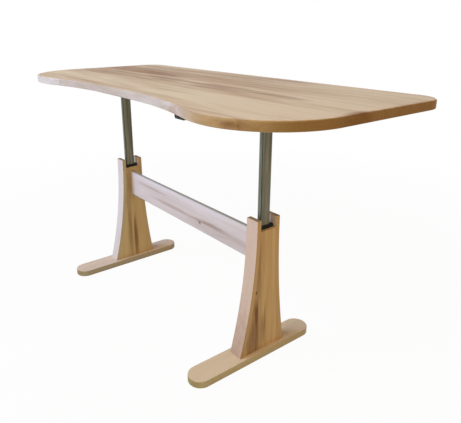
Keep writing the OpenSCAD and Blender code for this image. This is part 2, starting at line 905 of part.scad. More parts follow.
module spindle_left() { spindle(LEFT); }
module spindle_right() { spindle(RIGHT); }

// Mitre gear whose cone points up to the origin.
module mitre_gear(turn) {
    tip = addendum / sqrt(2);
    heel = dedendum / sqrt(2) + 1;
    hub_r = gear_r - heel;
    color([0.62, 0.62, 0.60])
    rotate([0, 0, turn]) difference() {
        rotate_extrude() polygon([
            [0, -small_share * (gear_r - tip)], [small_share * (gear_r + tip), -small_share * (gear_r - tip)],
            [gear_r + tip, -gear_r + tip], [gear_r - heel, -gear_r - heel],
            [hub_r, -gear_r - gear_hub_h], [0, -gear_r - gear_hub_h]
        ]);
        for (i = [0:teeth - 1]) {
            rotate([0, 0, i * tooth_angle]) rotate([0, 90 - root_angle, 0]) {
                for (lean = [-flank_angle, flank_angle]) {
                    rotate([lean, 0, 0]) linear_extrude(gear_r / 2)
                        polygon([[0, 0], [2 * gear_r, -2 * gear_r * tan(gap_angle)], [2 * gear_r, 2 * gear_r * tan(gap_angle)]]);
                }
            }
        }
    }
}

module spindle_gear(side) {
    color([0.62, 0.62, 0.60])
    difference() {
        at_leg(side) translate([0, 0, shaft_z]) mitre_gear(0);
        at_leg(side) upright(0, 0, gear_base - OVER, seat_r + fit_gap, gear_r + gear_hub_h);
    }
}

module spindle_gear_left() { spindle_gear(LEFT); }
module spindle_gear_right() { spindle_gear(RIGHT); }

// Drive shaft and motor

shaft_end = leg_x - gear_r * 0.7;
hub_r = gear_r - 1;
motor_z = shaft_z - motor_drop;
motor_cap = 10;

module hex_bar(length, r) {
    rotate([0, 90, 0]) cylinder(r = r, h = length, center = true, $fn = 6);
}

module drive_shaft() {
    color([0.68, 0.68, 0.70])
    translate([0, leg_y, shaft_z]) hex_bar(2 * shaft_end, hex_r);
}

module shaft_gear(side) {
    color([0.62, 0.62, 0.60])
    difference() {
        at_leg(side) translate([0, 0, shaft_z]) rotate([0, -90, 0]) mitre_gear(tooth_angle / 2);
        translate([0, leg_y, shaft_z]) hex_bar(leg_spacing, hex_r + fit_gap);
    }
}

module shaft_gear_left() { shaft_gear(LEFT); }
module shaft_gear_right() { shaft_gear(RIGHT); }

module shaft_bushes() {
    color([0.72, 0.58, 0.32])
    for (side = [LEFT, RIGHT]) {
        at_leg(side) difference() {
            lying_x(head_inner - bush_len, 0, shaft_z, bush_d / 2, bush_len);
            lying_x(head_inner - bush_len - OVER, 0, shaft_z, hex_r + run_gap, bush_len + 2 * OVER);
        }
    }
}

module motor_gearbox() {
    low = motor_z - 20;
    color([0.20, 0.20, 0.21])
    difference() {
        translate([-gearbox_len / 2, leg_y - head_w / 2, low])
            cube([gearbox_len, head_w, under_z - beam_wall - low]);
        lying_x(-gearbox_len / 2 - OVER, leg_y, shaft_z, hub_r + run_gap, gearbox_len + 2 * OVER);
        for (side = [LEFT, RIGHT]) {
            translate([side * side_bolt_x, leg_y, side_bolt_z]) both_flanges()
                lying_y(0, 0, 0, bolt_d / 2 + hole_play, beam_wall + side_bolt_in + OVER);
        }
        motor_screw_spots() lying_y(0, -motor_screw_in - OVER, 0, screw_d / 2 + hole_play, motor_screw_in + 2 * OVER);
    }
}

motor_screw_in = 8;
motor_flange_t = 4;
motor_screw_x = motor_d / 2 + 3;

// Repeats its children at the motor's screws, on the gearbox's back face.
module motor_screw_spots() {
    for (side = [LEFT, RIGHT]) {
        translate([side * motor_screw_x, leg_y + head_w / 2, motor_z - 10]) children();
    }
}

// Hollow hub in the gearbox, through which the shaft passes.
module drive_hub() {
    length = gearbox_len + 6;
    color([0.60, 0.60, 0.60])
    translate([0, leg_y, shaft_z]) difference() {
        lying_x(-length / 2, 0, 0, hub_r, length);
        hex_bar(length + 2 * OVER, hex_r + fit_gap);
    }
}

module motor() {
    color([0.15, 0.15, 0.16])
    translate([0, leg_y + head_w / 2, 0]) difference() {
        union() {
            lying_y(0, 0, motor_z, motor_d / 2, motor_len - motor_cap);
            lying_y(0, 0, motor_z, motor_d / 2 - 3, motor_len);
            translate([-gearbox_len / 2, 0, motor_z - 18]) cube([gearbox_len, motor_flange_t, 26]);
        }
        for (side = [LEFT, RIGHT]) {
            lying_y(side * motor_screw_x, -OVER, motor_z - 10, screw_d / 2 + hole_play, motor_flange_t + 2 * OVER);
        }
    }
}

module motor_screws() {
    color([0.70, 0.70, 0.70])
    motor_screw_spots() {
        lying_y(0, -motor_screw_in, 0, screw_d / 2, motor_screw_in + motor_flange_t + OVER);
        lying_y(0, motor_flange_t, 0, screw_head_r * 0.8, screw_head_h);
    }
}

// Control box

cover_t = 2;
post_h = 5;
board_t2 = 1.6;
inlet_w = 28;
inlet_h = 20;
inlet_z = under_z - box_h / 2;

// Repeats its children at the four posts of the control box's cover.
module box_post_spots() {
    for (sx = [-1, 1]) {
        for (sy = [-1, 1]) {
            translate([box_x + sx * (box_len / 2 - 14), box_y + sy * (box_w / 2 - 14), 0]) children();
        }
    }
}

module control_box() {
    color([0.12, 0.12, 0.12])
    difference() {
        union() {
            translate([box_x, box_y, 0]) block([box_len, box_w, box_h - cover_t], under_z - box_h + cover_t);
            translate([box_x, box_y, 0]) block([box_len + 2 * lug_len, lug_w, lug_t], under_z - lug_t);
        }
        translate([box_x, box_y, 0])
            block([box_len - 2 * box_wall, box_w - 2 * box_wall, box_h - cover_t - box_wall], under_z - box_h + cover_t - OVER + OVER);
        for (s = box_screw_spots) {
            upright(s[0], s[1], under_z - lug_t - OVER, screw_d / 2 + hole_play, lug_t + 2 * OVER);
        }
        translate([box_x + box_len / 2 - box_wall - OVER, box_y - inlet_w / 2, inlet_z - inlet_h / 2])
            cube([box_wall + 2 * OVER, inlet_w, inlet_h]);
    }
}

module control_box_cover() {
    color([0.14, 0.14, 0.14])
    translate([0, 0, under_z - box_h]) {
        translate([box_x, box_y, 0]) block([box_len, box_w, cover_t], 0);
        box_post_spots() upright(0, 0, 0, 3, cover_t + post_h);
    }
}

// Circuit board with its transformer and capacitors.
module control_board() {
    board_z = under_z - box_h + cover_t + post_h;
    color([0.10, 0.35, 0.18])
    translate([box_x, box_y, 0]) {
        block([box_len - 20, box_w - 16, board_t2], board_z);
        translate([-box_len / 4, 0, 0]) block([44, 40, 20], board_z + board_t2 - 0.01);
        for (k = [0:2]) {
            upright(k * 22, 20, board_z + board_t2 - 0.01, 7, 18);
        }
        translate([box_len / 4 - 20, -24, 0]) block([50, 18, 12], board_z + board_t2 - 0.01);
    }
}

// Recessed mains inlet with three flat contacts.
module mains_inlet() {
    depth = 16;
    wall = 1.6;
    x0 = box_x + box_len / 2;
    color([0.05, 0.05, 0.05])
    translate([x0, box_y, inlet_z]) {
        difference() {
            union() {
                translate([-depth, -inlet_w / 2 + fit_gap, -inlet_h / 2 + fit_gap])
                    cube([depth + OVER, inlet_w - 2 * fit_gap, inlet_h - 2 * fit_gap]);
                translate([0, -inlet_w / 2 - 3, -inlet_h / 2 - 3]) cube([2, inlet_w + 6, inlet_h + 6]);
            }
            translate([-depth + wall, -inlet_w / 2 + wall, -inlet_h / 2 + wall])
                cube([depth + 3, inlet_w - 2 * wall, inlet_h - 2 * wall]);
        }
        for (k = [-1:1]) {
            translate([-depth + wall / 2, k * 7 - 1, k == 0 ? 1 : -3]) cube([12, 2, 4]);
        }
    }
}

// Hand switch

switch_slope = 5;
button_lip = 1;
button_out = 1.5;
button_z = under_z - switch_plate_t - (switch_h - switch_plate_t - switch_wall) / 2;
button_gap = 0.3;
button_step = 12;
switch_face = switch_y - switch_w / 2;

// Front view of the hand switch, with its lower corners cut off.
module switch_view(inset) {
    half = switch_len / 2 - inset;
    low = under_z - switch_h + inset;
    polygon([[-half, under_z], [-half, low + switch_slope], [-half + switch_slope, low],
        [half - switch_slope, low], [half, low + switch_slope], [half, under_z]]);
}

module switch_housing() {
    color([0.05, 0.05, 0.05])
    difference() {
        translate([switch_x, switch_face + switch_w, 0]) rotate([90, 0, 0]) linear_extrude(switch_w) switch_view(0);
        intersection() {
            translate([switch_x, switch_face + switch_w - switch_wall, 0]) rotate([90, 0, 0])
                linear_extrude(switch_w - 2 * switch_wall) switch_view(switch_wall);
            translate([switch_x, switch_y, 0]) block([switch_len, switch_w, switch_h], under_z - switch_h);
        }
        for (side = [LEFT, RIGHT]) {
            translate([switch_x + side * button_step - button_len / 2 - button_gap, switch_face - OVER,
                button_z - button_h / 2 - button_gap])
                cube([button_len + 2 * button_gap, switch_wall + 2 * OVER, button_h + 2 * button_gap]);
        }
    }
}

// Plate that is screwed to the desktop and holds the housing.
module switch_plate() {
    color([0.15, 0.15, 0.15])
    difference() {
        translate([switch_x, switch_y, 0])
            block([switch_len - 2 * switch_wall - 2 * fit_gap, switch_w - 2 * switch_wall - 2 * fit_gap, switch_plate_t],
                under_z - switch_plate_t);
        for (s = switch_screw_spots) {
            upright(s[0], s[1], under_z - switch_plate_t - OVER, screw_d / 2 + hole_play, switch_plate_t + 2 * OVER);
        }
    }
}

// Push button with a lip behind the housing's wall and an arrow on its face.
module button(side, turn) {
    x = switch_x + side * button_step;
    color([0.25, 0.25, 0.26]) {
        translate([x - button_len / 2, switch_face - button_out, button_z - button_h / 2])
            cube([button_len, button_out + switch_wall + button_gap + button_lip, button_h]);
        translate([x - button_len / 2 - button_lip, switch_face + switch_wall + button_gap, button_z - button_h / 2 - button_lip])
            cube([button_len + 2 * button_lip, button_lip, button_h + 2 * button_lip]);
        translate([x, switch_face - button_out, button_z]) rotate([90, turn, 0])
            cylinder(r = button_h * 0.3, h = 0.3, $fn = 3);
    }
}

module up_button() { button(LEFT, -90); }
module down_button() { button(RIGHT, 90); }

desktop();
foot_left();
foot_right();
foot_glides();
foot_screws();
front_board_left();
front_board_right();
back_board_left();
back_board_right();
inner_board_left();
inner_board_right();
outer_board_left();
outer_board_right();
stretcher();
stretcher_dowels();
guide_tube_left();
guide_tube_right();
guide_collar_left();
guide_collar_right();
nut_post_left();
nut_post_right();
spindle_nut_left();
spindle_nut_right();
lift_tube_left();
lift_tube_right();
glide_shoe_left();
glide_shoe_right();
crossbeam();
arm_left();
arm_right();
arm_bolts();
desktop_screws();
gear_head_left();
gear_head_right();
gear_head_lids();
gear_head_screws();
spindle_bearing_left();
spindle_bearing_right();
spindle_left();
spindle_right();
spindle_gear_left();
spindle_gear_right();
drive_shaft();
shaft_gear_left();
shaft_gear_right();
shaft_bushes();
motor_gearbox();
drive_hub();
motor();
motor_screws();
control_box();
control_box_cover();
control_board();
mains_inlet();
switch_housing();
switch_plate();
up_button();
down_button();
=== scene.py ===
"""Looks of a height-adjustable beech desk, built round its CAD solids. All sizes are in metres."""

import logging
import math
from dataclasses import dataclass
from enum import Enum

import bmesh
import bpy
from mathutils import Matrix, Vector


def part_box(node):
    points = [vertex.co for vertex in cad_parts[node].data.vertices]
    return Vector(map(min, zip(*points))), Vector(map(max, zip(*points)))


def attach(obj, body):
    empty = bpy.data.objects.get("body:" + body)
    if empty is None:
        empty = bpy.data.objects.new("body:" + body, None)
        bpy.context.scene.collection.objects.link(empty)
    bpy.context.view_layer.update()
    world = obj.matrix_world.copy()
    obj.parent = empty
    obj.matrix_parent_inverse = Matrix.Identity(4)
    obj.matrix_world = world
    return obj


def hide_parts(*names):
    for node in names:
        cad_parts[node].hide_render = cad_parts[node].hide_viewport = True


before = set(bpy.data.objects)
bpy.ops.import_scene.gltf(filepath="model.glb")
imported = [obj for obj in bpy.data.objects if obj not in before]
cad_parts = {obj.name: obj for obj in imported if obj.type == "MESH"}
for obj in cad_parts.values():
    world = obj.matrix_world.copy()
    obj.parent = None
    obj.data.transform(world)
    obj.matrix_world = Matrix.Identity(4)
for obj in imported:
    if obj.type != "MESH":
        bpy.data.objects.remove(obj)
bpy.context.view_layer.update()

LOG = logging.getLogger("desk")

Colour = tuple[float, float, float]
Point = tuple[float, float, float]
Range = tuple[float, float]
Rows = tuple[tuple[float, ...], ...]
Socket = bpy.types.NodeSocket
Material = bpy.types.Material

BASE = "base"
TOP = "desk_top"
FLOAT = "NodeSocketFloat"
VECTOR = "NodeSocketVector"
COLOUR = "NodeSocketColor"
WHITE = (1.0, 1.0, 1.0)
ALONG_Y = (0.0, 1.0, 0.0)
ALONG_Z = (0.0, 0.0, 1.0)
RISING = (0.0, 1.0)
FALLING = (1.0, 0.0)
SMOOTH_BELOW = 32.0
MERGE_WITHIN = 0.000002
FLAT_WITHIN = 0.02


class Side(Enum):
    """The two legs, by the sign of their X."""

    LEFT = -1
    RIGHT = 1

    @property
    def word(self) -> str:
        """Ending of this side's node names."""
        return self.name.lower()


class Axis(Enum):
    """Axis of the desk, by its number."""

    X = 0
    Y = 1
    Z = 2


class Grain(Enum):
    """Direction of the wood's fibres or the steel's lines, and the turn that brings it to local X."""

    ALONG_DESK = (0.0, 0.0, 0.0)
    ALONG_FOOT = (0.0, 0.0, -math.pi / 2)
    UPRIGHT = (0.0, math.pi / 2, 0.0)


def grey(value: float) -> Colour:
    """Neutral colour of one value."""
    return value, value, value


def linear(*screen: int) -> Colour:
    """Scene-linear colour of a screen colour, given by its red, green and blue from 0 to 255."""
    shares = [value / 255 for value in screen]
    return tuple(share / 12.92 if share <= 0.04045 else ((share + 0.055) / 1.055) ** 2.4 for share in shares)


class Graph:
    """Short notation for adding nodes to a tree."""

    def __init__(self, tree: bpy.types.NodeTree) -> None:
        """Keeps the tree that the nodes go into."""
        self.tree = tree

    def add(self, kind: str, inputs: dict | None = None, **settings: object) -> bpy.types.Node:
        """Adds a node.

        Args:
            kind: Name of the node's type.
            inputs: Values or sockets, by input name or number.
            settings: Properties of the node itself.

        Returns:
            The new node.
        """
        node = self.tree.nodes.new(kind)
        for name, value in settings.items():
            setattr(node, name, value)
        for key, value in (inputs or {}).items():
            self.put(node.inputs[key], value)
        return node

    def get(self, kind: str, inputs: dict | None = None, output: int | str = 0, **settings: object) -> Socket:
        """Adds a node and gives one of its outputs, by its name or number."""
        return self.add(kind, inputs, **settings).outputs[output]

    def put(self, socket: Socket, value: object) -> None:
        """Links a socket to another one, or sets its value.

        Args:
            socket: The input to fill.
            value: A socket, number, vector or colour.
        """
        if isinstance(value, Socket):
            self.tree.links.new(value, socket)
        elif socket.type == "RGBA":
            socket.default_value = (*value, 1.0)
        else:
            socket.default_value = value

    def math(self, operation: str, a: object, b: object = 0.0, clamp: bool = False) -> Socket:
        """Result of a math node."""
        return self.get("ShaderNodeMath", {0: a, 1: b}, operation=operation, use_clamp=clamp)

    def plus(self, total: object, *parts: object) -> Socket:
        """Sum of two or more values, added in order.

        Args:
            total: The first value.
            parts: The others.

        Returns:
            The sum.
        """
        for part in parts:
            total = self.math("ADD", total, part)
        return total

    def minus(self, a: object, b: object) -> Socket:
        """Difference of two values."""
        return self.math("SUBTRACT", a, b)

    def times(self, a: object, b: object, clamp: bool = False) -> Socket:
        """Product of two values."""
        return self.math("MULTIPLY", a, b, clamp)

    def vector(self, operation: str, a: object, b: object) -> Socket:
        """Vector result of a vector math node."""
        return self.get("ShaderNodeVectorMath", {0: a, 1: b}, operation=operation)

    def length(self, a: object) -> Socket:
        """Length of a vector."""
        return self.get("ShaderNodeVectorMath", {0: a}, 1, operation="LENGTH")

    def turned(self, vector: object, grain: Grain) -> Socket:
        """A vector turned so that a grain runs along local X."""
        return self.get("ShaderNodeMapping", {"Vector": vector, "Rotation": grain.value})

    def span(self, value: object, ends: Range, to: Range = RISING) -> Socket:
        """A value moved smoothly from one range to another."""
        ranges = {1: ends[0], 2: ends[1], 3: to[0], 4: to[1]}
        return self.get("ShaderNodeMapRange", {0: value} | ranges, interpolation_type="SMOOTHSTEP")

    def mix(self, share: object, a: object, b: object, blend: str = "MIX") -> Socket:
        """Mix of two colours."""
        return self.get("ShaderNodeMix", {0: share, 6: a, 7: b}, 2, data_type="RGBA", blend_type=blend)

    def split(self, vector: object) -> list[Socket]:
        """The three parts of a vector."""
        return list(self.add("ShaderNodeSeparateXYZ", {0: vector}).outputs)

    def join(self, x: object = 0.0, y: object = 0.0, z: object = 0.0) -> Socket:
        """A vector from three parts."""
        return self.get("ShaderNodeCombineXYZ", {0: x, 1: y, 2: z})


@dataclass(frozen=True)
class Noise:
    """A noise with its own number of cycles per metre along each axis.

    In a sum it counts by how far it lies above its mean, times its weight.
    """

    cycles: Point
    detail: float = 2.0
    rough: float = 0.5
    bend: float = 0.0
    mean: float = 0.5
    weight: float = 1.0

    def over(self, graph: Graph, where: object) -> Socket:
        """Value of the noise at each place."""
        scaled = graph.vector("MULTIPLY", where, self.cycles)
        return graph.get("ShaderNodeTexNoise", {"Vector": scaled, "Scale": 1.0, "Detail": self.detail,
                                                "Roughness": self.rough, "Distortion": self.bend})

    def weighed(self, graph: Graph, value: Socket) -> Socket:
        """What a value of the noise counts in a sum."""
        return graph.times(graph.minus(value, self.mean), self.weight)


class Effect(Graph):
    """A shader node group that several finishes use."""

    def __init__(self, name: str, inputs: dict[str, str], outputs: dict[str, str]) -> None:
        """Makes the group's tree and its sockets.

        Args:
            name: Name of the group.
            inputs: Socket kind, by name.
            outputs: Socket kind, by name.
        """
        super().__init__(bpy.data.node_groups.new(name, "ShaderNodeTree"))
        for way, sockets in (("INPUT", inputs), ("OUTPUT", outputs)):
            for title, kind in sockets.items():
                self.tree.interface.new_socket(title, in_out=way, socket_type=kind)
        self.source = self.tree.nodes.new("NodeGroupInput").outputs
        self.sink = self.tree.nodes.new("NodeGroupOutput").inputs

    def give(self, **values: Socket) -> None:
        """Links values to the group's outputs of the same names."""
        for title, value in values.items():
            self.put(self.sink[title], value)

    def place(self, graph: Graph, values: dict) -> bpy.types.NodeOutputs:
        """Puts the group into a material's graph with its own values, and gives its outputs."""
        return graph.add("ShaderNodeGroup", values, node_tree=self.tree).outputs


class BeechFigure(Effect):
    """Figure of beech along local X: staves, growth lines, fibres, ray flecks, pores and brown heart."""

    seed_steps: Point = (7.31, 3.17, 5.71)
    stave_shift: Range = (9.0, 4.0)
    tone_mean: float = 0.5
    broad = Noise((1.3, 15.0, 15.0), 3.0, 0.55, 0.35, mean=0.45, weight=1.1)
    clouds = Noise((1.8, 14.0, 14.0), 4.0, 0.62, weight=1.2)
    fibres = Noise((7.0, 420.0, 420.0), 3.0, 0.6, weight=0.45)
    growth = Noise((0.5, 190.0, 0.0), 2.0, 0.6, weight=0.25)
    wander = Noise((1.1, 6.0, 6.0))
    wander_width: float = 0.16
    flecks = Noise((170.0, 1500.0, 1500.0), 1.0)
    fleck_range: Range = (0.64, 0.72)
    fleck_share: float = 0.28
    fleck_dent: float = 0.3
    pores = Noise((900.0, 900.0, 900.0))
    pore_range: Range = (0.45, 0.62)
    pore_share: float = 0.35
    veins = Noise((0.9, 24.0, 24.0), 3.0, 0.5, 0.6)
    vein_range: Range = (0.55, 0.78)
    streak_shade: float = 0.6
    streak_by_broad: tuple[Range, Range] = ((0.25, 0.7), (0.7, 1.2))
    brown_by_growth: tuple[Range, Range] = ((0.35, 0.65), (0.78, 1.0))
    most_brown: float = 0.92
    cut_share: float = 0.7
    cut_rough: float = 0.14
    fibre_rough: float = 0.16
    fibre_height: float = 0.6

    def __init__(self) -> None:
        """Builds the group."""
        super().__init__("Beech figure", {
            "Vector": VECTOR, "Seed": FLOAT, "Light": COLOUR, "Dark": COLOUR, "Heart": COLOUR, "Cut": COLOUR,
            "Heart Share": FLOAT, "Stave": FLOAT, "Stave Change": FLOAT, "Shade": FLOAT, "Streaks": FLOAT,
            "End": FLOAT}, {"Color": COLOUR, "Roughness": FLOAT, "Height": FLOAT})
        s = self.source
        steps = [self.times(s["Seed"], step) for step in self.seed_steps]
        place = self.vector("ADD", s["Vector"], self.join(*steps))
        stave = self.math("FLOOR", self.math("DIVIDE", self.split(place)[1], s["Stave"]))
        tone = self.get("ShaderNodeTexWhiteNoise", {1: self.plus(stave, s["Seed"])}, noise_dimensions="1D")
        shift_x, shift_z = (self.times(tone, shift) for shift in self.stave_shift)
        moved = self.vector("ADD", place, self.join(x=shift_x, z=shift_z))
        broad, fibres = self.broad.over(self, moved), self.fibres.over(self, moved)
        growth = self.growth_lines(moved)
        clouds = self.clouds.over(self, place)
        fleck = self.span(self.flecks.over(self, moved), self.fleck_range)
        pores = self.span(self.pores.over(self, place), self.pore_range)
        shade = self.plus(self.broad.weighed(self, broad), self.growth.weighed(self, growth),
                          self.clouds.weighed(self, clouds), self.fibres.weighed(self, fibres),
                          self.times(self.minus(tone, self.tone_mean), s["Stave Change"]),
                          self.times(s["Streaks"], self.streak_shade))
        colour = self.mix(self.math("ADD", shade, s["Shade"], clamp=True), s["Light"], s["Dark"])
        colour = self.mix(self.heart_mask(moved, broad, growth), colour, s["Heart"])
        colour = self.mix(self.times(fleck, self.fleck_share), colour, s["Heart"])
        cut = self.mix(self.cut_share, colour, s["Cut"])
        cut = self.mix(self.times(pores, self.pore_share), cut, s["Heart"])
        dents = self.plus(self.times(fleck, self.fleck_dent), self.times(s["End"], pores))
        rough = self.plus(self.times(fibres, self.fibre_rough), self.times(s["End"], self.cut_rough))
        self.give(Color=self.mix(s["End"], colour, cut), Roughness=rough,
                  Height=self.minus(self.times(fibres, self.fibre_height), dents))

    def growth_lines(self, moved: Socket) -> Socket:
        """Growth lines, which wander across the board.

        Args:
            moved: Places, moved apart from stave to stave.

        Returns:
            Value of the lines.
        """
        along, across, _ = self.split(moved)
        bent = self.plus(across, self.times(self.wander.over(self, moved), self.wander_width))
        return self.growth.over(self, self.join(along, bent))

    def heart_mask(self, moved: Socket, broad: Socket, growth: Socket) -> Socket:
        """Mask of the brown heart.

        Args:
            moved: Places, moved apart from stave to stave.
            broad: The broad changes of tone.
            growth: The growth lines.

        Returns:
            Share of the heart's colour, which veins and the board's own streaks raise.
        """
        vein = self.span(self.veins.over(self, moved), self.vein_range)
        vein = self.times(vein, self.source["Heart Share"])
        streak = self.times(self.source["Streaks"], self.span(broad, *self.streak_by_broad))
        brown = self.times(self.plus(vein, streak), self.span(growth, *self.brown_by_growth))
        return self.math("MINIMUM", self.math("MAXIMUM", brown, 0.0), self.most_brown)


class WornEdges(Effect):
    """Mask of the edges that hands, feet and transport wear, broken up by spots."""

    samples: int = 6
    sharp_range: Range = (0.70, 0.98)
    spots = Noise((55.0, 55.0, 55.0), 4.0, 0.65)
    spot_range: Range = (0.35, 0.68)

    def __init__(self) -> None:
        """Builds the group."""
        super().__init__("Worn edges", {"Vector": VECTOR, "Width": FLOAT, "Amount": FLOAT}, {"Mask": FLOAT})
        s = self.source
        rounded = self.get("ShaderNodeBevel", {"Radius": s["Width"]}, samples=self.samples)
        normal = self.get("ShaderNodeNewGeometry", output="Normal")
        turn = self.get("ShaderNodeVectorMath", {0: rounded, 1: normal}, 1, operation="DOT_PRODUCT")
        spots = self.span(self.spots.over(self, s["Vector"]), self.spot_range)
        edge = self.times(self.span(turn, self.sharp_range, FALLING), spots)
        self.give(Mask=self.times(edge, s["Amount"], clamp=True))


class BrushedLines(Effect):
    """Fine drawn lines along local X, with broader streaks of tarnish."""

    lines = Noise((6.0, 1.0, 1.0), 3.0, 0.6)
    tarnish = Noise((3.0, 60.0, 60.0), 3.0, 0.55, 0.4)

    def __init__(self) -> None:
        """Builds the group."""
        super().__init__("Brushed lines", {"Vector": VECTOR, "Fineness": FLOAT},
                         {"Lines": FLOAT, "Streaks": FLOAT})
        where, fineness = self.source["Vector"], self.source["Fineness"]
        x, y, z = self.split(where)
        fine = self.join(x, self.times(y, fineness), self.times(z, fineness))
        self.give(Lines=self.lines.over(self, fine), Streaks=self.tarnish.over(self, where))


class CastGrain(Effect):
    """Fine pitting of moulded, cast or powder-coated surfaces, with faint blotches."""

    fine = Noise((700.0, 700.0, 700.0))
    fine_share: float = 0.5
    blotches = Noise((22.0, 22.0, 22.0), 4.0, 0.6)

    def __init__(self) -> None:
        """Builds the group."""
        super().__init__("Cast grain", {"Vector": VECTOR, "Fineness": FLOAT},
                         {"Grain": FLOAT, "Blotches": FLOAT})
        where, fineness = self.source["Vector"], self.source["Fineness"]
        pits = self.get("ShaderNodeTexVoronoi", {"Vector": where, "Scale": fineness}, feature="SMOOTH_F1")
        self.give(Grain=self.plus(pits, self.times(self.fine.over(self, where), self.fine_share)),
                  Blotches=self.blotches.over(self, where))


class SettledDust(Effect):
    """Mask of the thin dust that lies on faces that look up."""

    upward_range: Range = (0.2, 0.95)
    patches = Noise((34.0, 34.0, 34.0), 5.0, 0.7)
    patch_range: Range = (0.3, 0.8)

    def __init__(self) -> None:
        """Builds the group."""
        super().__init__("Settled dust", {"Vector": VECTOR, "Normal": VECTOR, "Amount": FLOAT},
                         {"Mask": FLOAT})
        s = self.source
        upward = self.span(self.split(s["Normal"])[Axis.Z.value], self.upward_range)
        patches = self.span(self.patches.over(self, s["Vector"]), self.patch_range)
        self.give(Mask=self.times(self.times(upward, patches), s["Amount"], clamp=True))


class Effects:
    """The shader groups of this desk, each built once."""

    def __init__(self) -> None:
        """Builds the groups."""
        self.beech = BeechFigure()
        self.wear = WornEdges()
        self.brushed = BrushedLines()
        self.cast = CastGrain()
        self.dust = SettledDust()


class Surface(Graph):
    """A Principled material under construction, on object coordinates."""

    def __init__(self, name: str, effects: Effects, **settings: float) -> None:
        """Starts the material.

        Args:
            name: Name of the material.
            effects: The desk's shader groups.
            settings: Values for the shader's own sockets, an underscore standing for a space.
        """
        self.material = bpy.data.materials.new(name)
        self.material.use_nodes = True
        super().__init__(self.material.node_tree)
        self.effects = effects
        self.shader = self.tree.nodes["Principled BSDF"]
        for title, value in settings.items():
            self.put(self.shader.inputs[title.replace("_", " ")], value)
        coordinates = self.add("ShaderNodeTexCoord").outputs
        self.where, self.normal = coordinates["Object"], coordinates["Normal"]

    def wear(self, width: float, amount: float) -> Socket:
        """Mask of the worn edges."""
        values = {"Vector": self.where, "Width": width, "Amount": amount}
        return self.effects.wear.place(self, values)["Mask"]

    def dust(self, amount: float) -> Socket:
        """Mask of the settled dust."""
        values = {"Vector": self.where, "Normal": self.normal, "Amount": amount}
        return self.effects.dust.place(self, values)["Mask"]

    def end(self, colour: Socket, rough: Socket, height: Socket, depth: float, strength: float) -> Material:
        """Gives the shader its changing values.

        Args:
            colour: Base colour.
            rough: Roughness.
            height: Height of the bump, 0 to 1.
            depth: What a height of 1 measures.
            strength: Share of the bump that shows.

        Returns:
            The material.
        """
        bump = self.get("ShaderNodeBump", {"Height": height, "Distance": depth, "Strength": strength})
        for title, value in {"Base Color": colour, "Roughness": rough, "Normal": bump}.items():
            self.put(self.shader.inputs[title], value)
        return self.material


@dataclass(frozen=True)
class HeartStreak:
    """A place where brown heartwood shows, or with a negative strength is kept away."""

    middle: Point
    reach: Point
    strength: float


@dataclass(frozen=True)
class Beech:
    """Oiled solid beech of one board or panel.

    The light and dark tones make the figure, heart is the brown heartwood and cut the end grain. The board's
    own faces look along the axis face, and all others are tinted with edge, a painted light and shade tint
    for how light falls on them, or where far_shade_tint is given, from edge to far_shade_tint, a painted
    shade, over the fade's range of X.
    """

    name: str
    grain: Grain
    seed: float
    light: Colour
    dark: Colour
    heart: Colour = linear(126, 84, 48)
    cut: Colour = linear(150, 112, 70)
    face: Axis = Axis.Z
    # edge, far_shade_tint and fade paint light and shade on the faces other than the board's own.
    edge: Colour = WHITE
    far_shade_tint: Colour | None = None
    fade: Range = RISING
    shade: float = 0.35
    heart_share: float = 0.25
    stave: float = 0.4
    stave_change: float = 0.1
    streaks: tuple[HeartStreak, ...] = ()
    streak_range: Range = (0.15, 1.0)
    wobble: Noise = Noise((2.6, 36.0, 36.0), 4.0, 0.6, weight=1.7)
    gloss: float = 0.05
    gloss_rough: float = 0.32
    shine: float = 0.2
    rough: float = 0.44
    bump: Range = (0.0003, 0.22)
    wear_width: float = 0.0022
    wear: float = 0.35
    end_range: Range = (0.45, 0.92)
    painted_tint_range: Range = (0.7, 0.99)

    def streak_mask(self, m: Surface, turned: Socket) -> Socket | float:
        """How brown the board's own streaks make each place.

        Args:
            m: The material.
            turned: Places with the fibres along X.

        Returns:
            Sum of the streaks' strengths, or 0 for a board without streaks.
        """
        if not self.streaks:
            return 0.0
        wobble = self.wobble.weighed(m, self.wobble.over(m, turned))
        masks = []
        for streak in self.streaks:
            off = m.vector("DIVIDE", m.vector("SUBTRACT", m.where, streak.middle), streak.reach)
            masks.append(m.span(m.plus(m.length(off), wobble), self.streak_range, (streak.strength, 0.0)))
        return m.plus(*masks)

    def painted_light_and_shade_tint(self, m: Surface) -> Socket | Colour:
        """Painted light and shade tint of the faces other than the board's own.

        Args:
            m: The material.

        Returns:
            One colour, or the fade between two.
        """
        if self.far_shade_tint is None:
            return self.edge
        return m.mix(m.span(m.split(m.where)[Axis.X.value], self.fade), self.edge, self.far_shade_tint)

    def make(self, effects: Effects) -> Material:
        """Builds the material.

        Args:
            effects: The desk's shader groups.

        Returns:
            The material.
        """
        m = Surface(self.name, effects, Coat_Weight=self.gloss, Coat_Roughness=self.gloss_rough,
                    Specular_IOR_Level=self.shine)
        turned = m.turned(m.where, self.grain)
        along = m.math("ABSOLUTE", m.split(m.turned(m.normal, self.grain))[0])
        figure = effects.beech.place(m, {
            "Vector": turned, "Seed": self.seed, "Light": self.light, "Dark": self.dark, "Heart": self.heart,
            "Cut": self.cut, "Heart Share": self.heart_share, "Stave": self.stave,
            "Stave Change": self.stave_change, "Shade": self.shade, "Streaks": self.streak_mask(m, turned),
            "End": m.span(along, self.end_range)})
        # Painted light and shade on the faces that don't look along the axis face.
        across = m.span(m.math("ABSOLUTE", m.split(m.normal)[self.face.value]), self.painted_tint_range, FALLING)
        colour = m.mix(across, figure["Color"], self.painted_light_and_shade_tint(m), "MULTIPLY")
        colour = m.mix(m.wear(self.wear_width, self.wear), colour, self.heart)
        return m.end(colour, m.plus(figure["Roughness"], self.rough), figure["Height"], *self.bump)


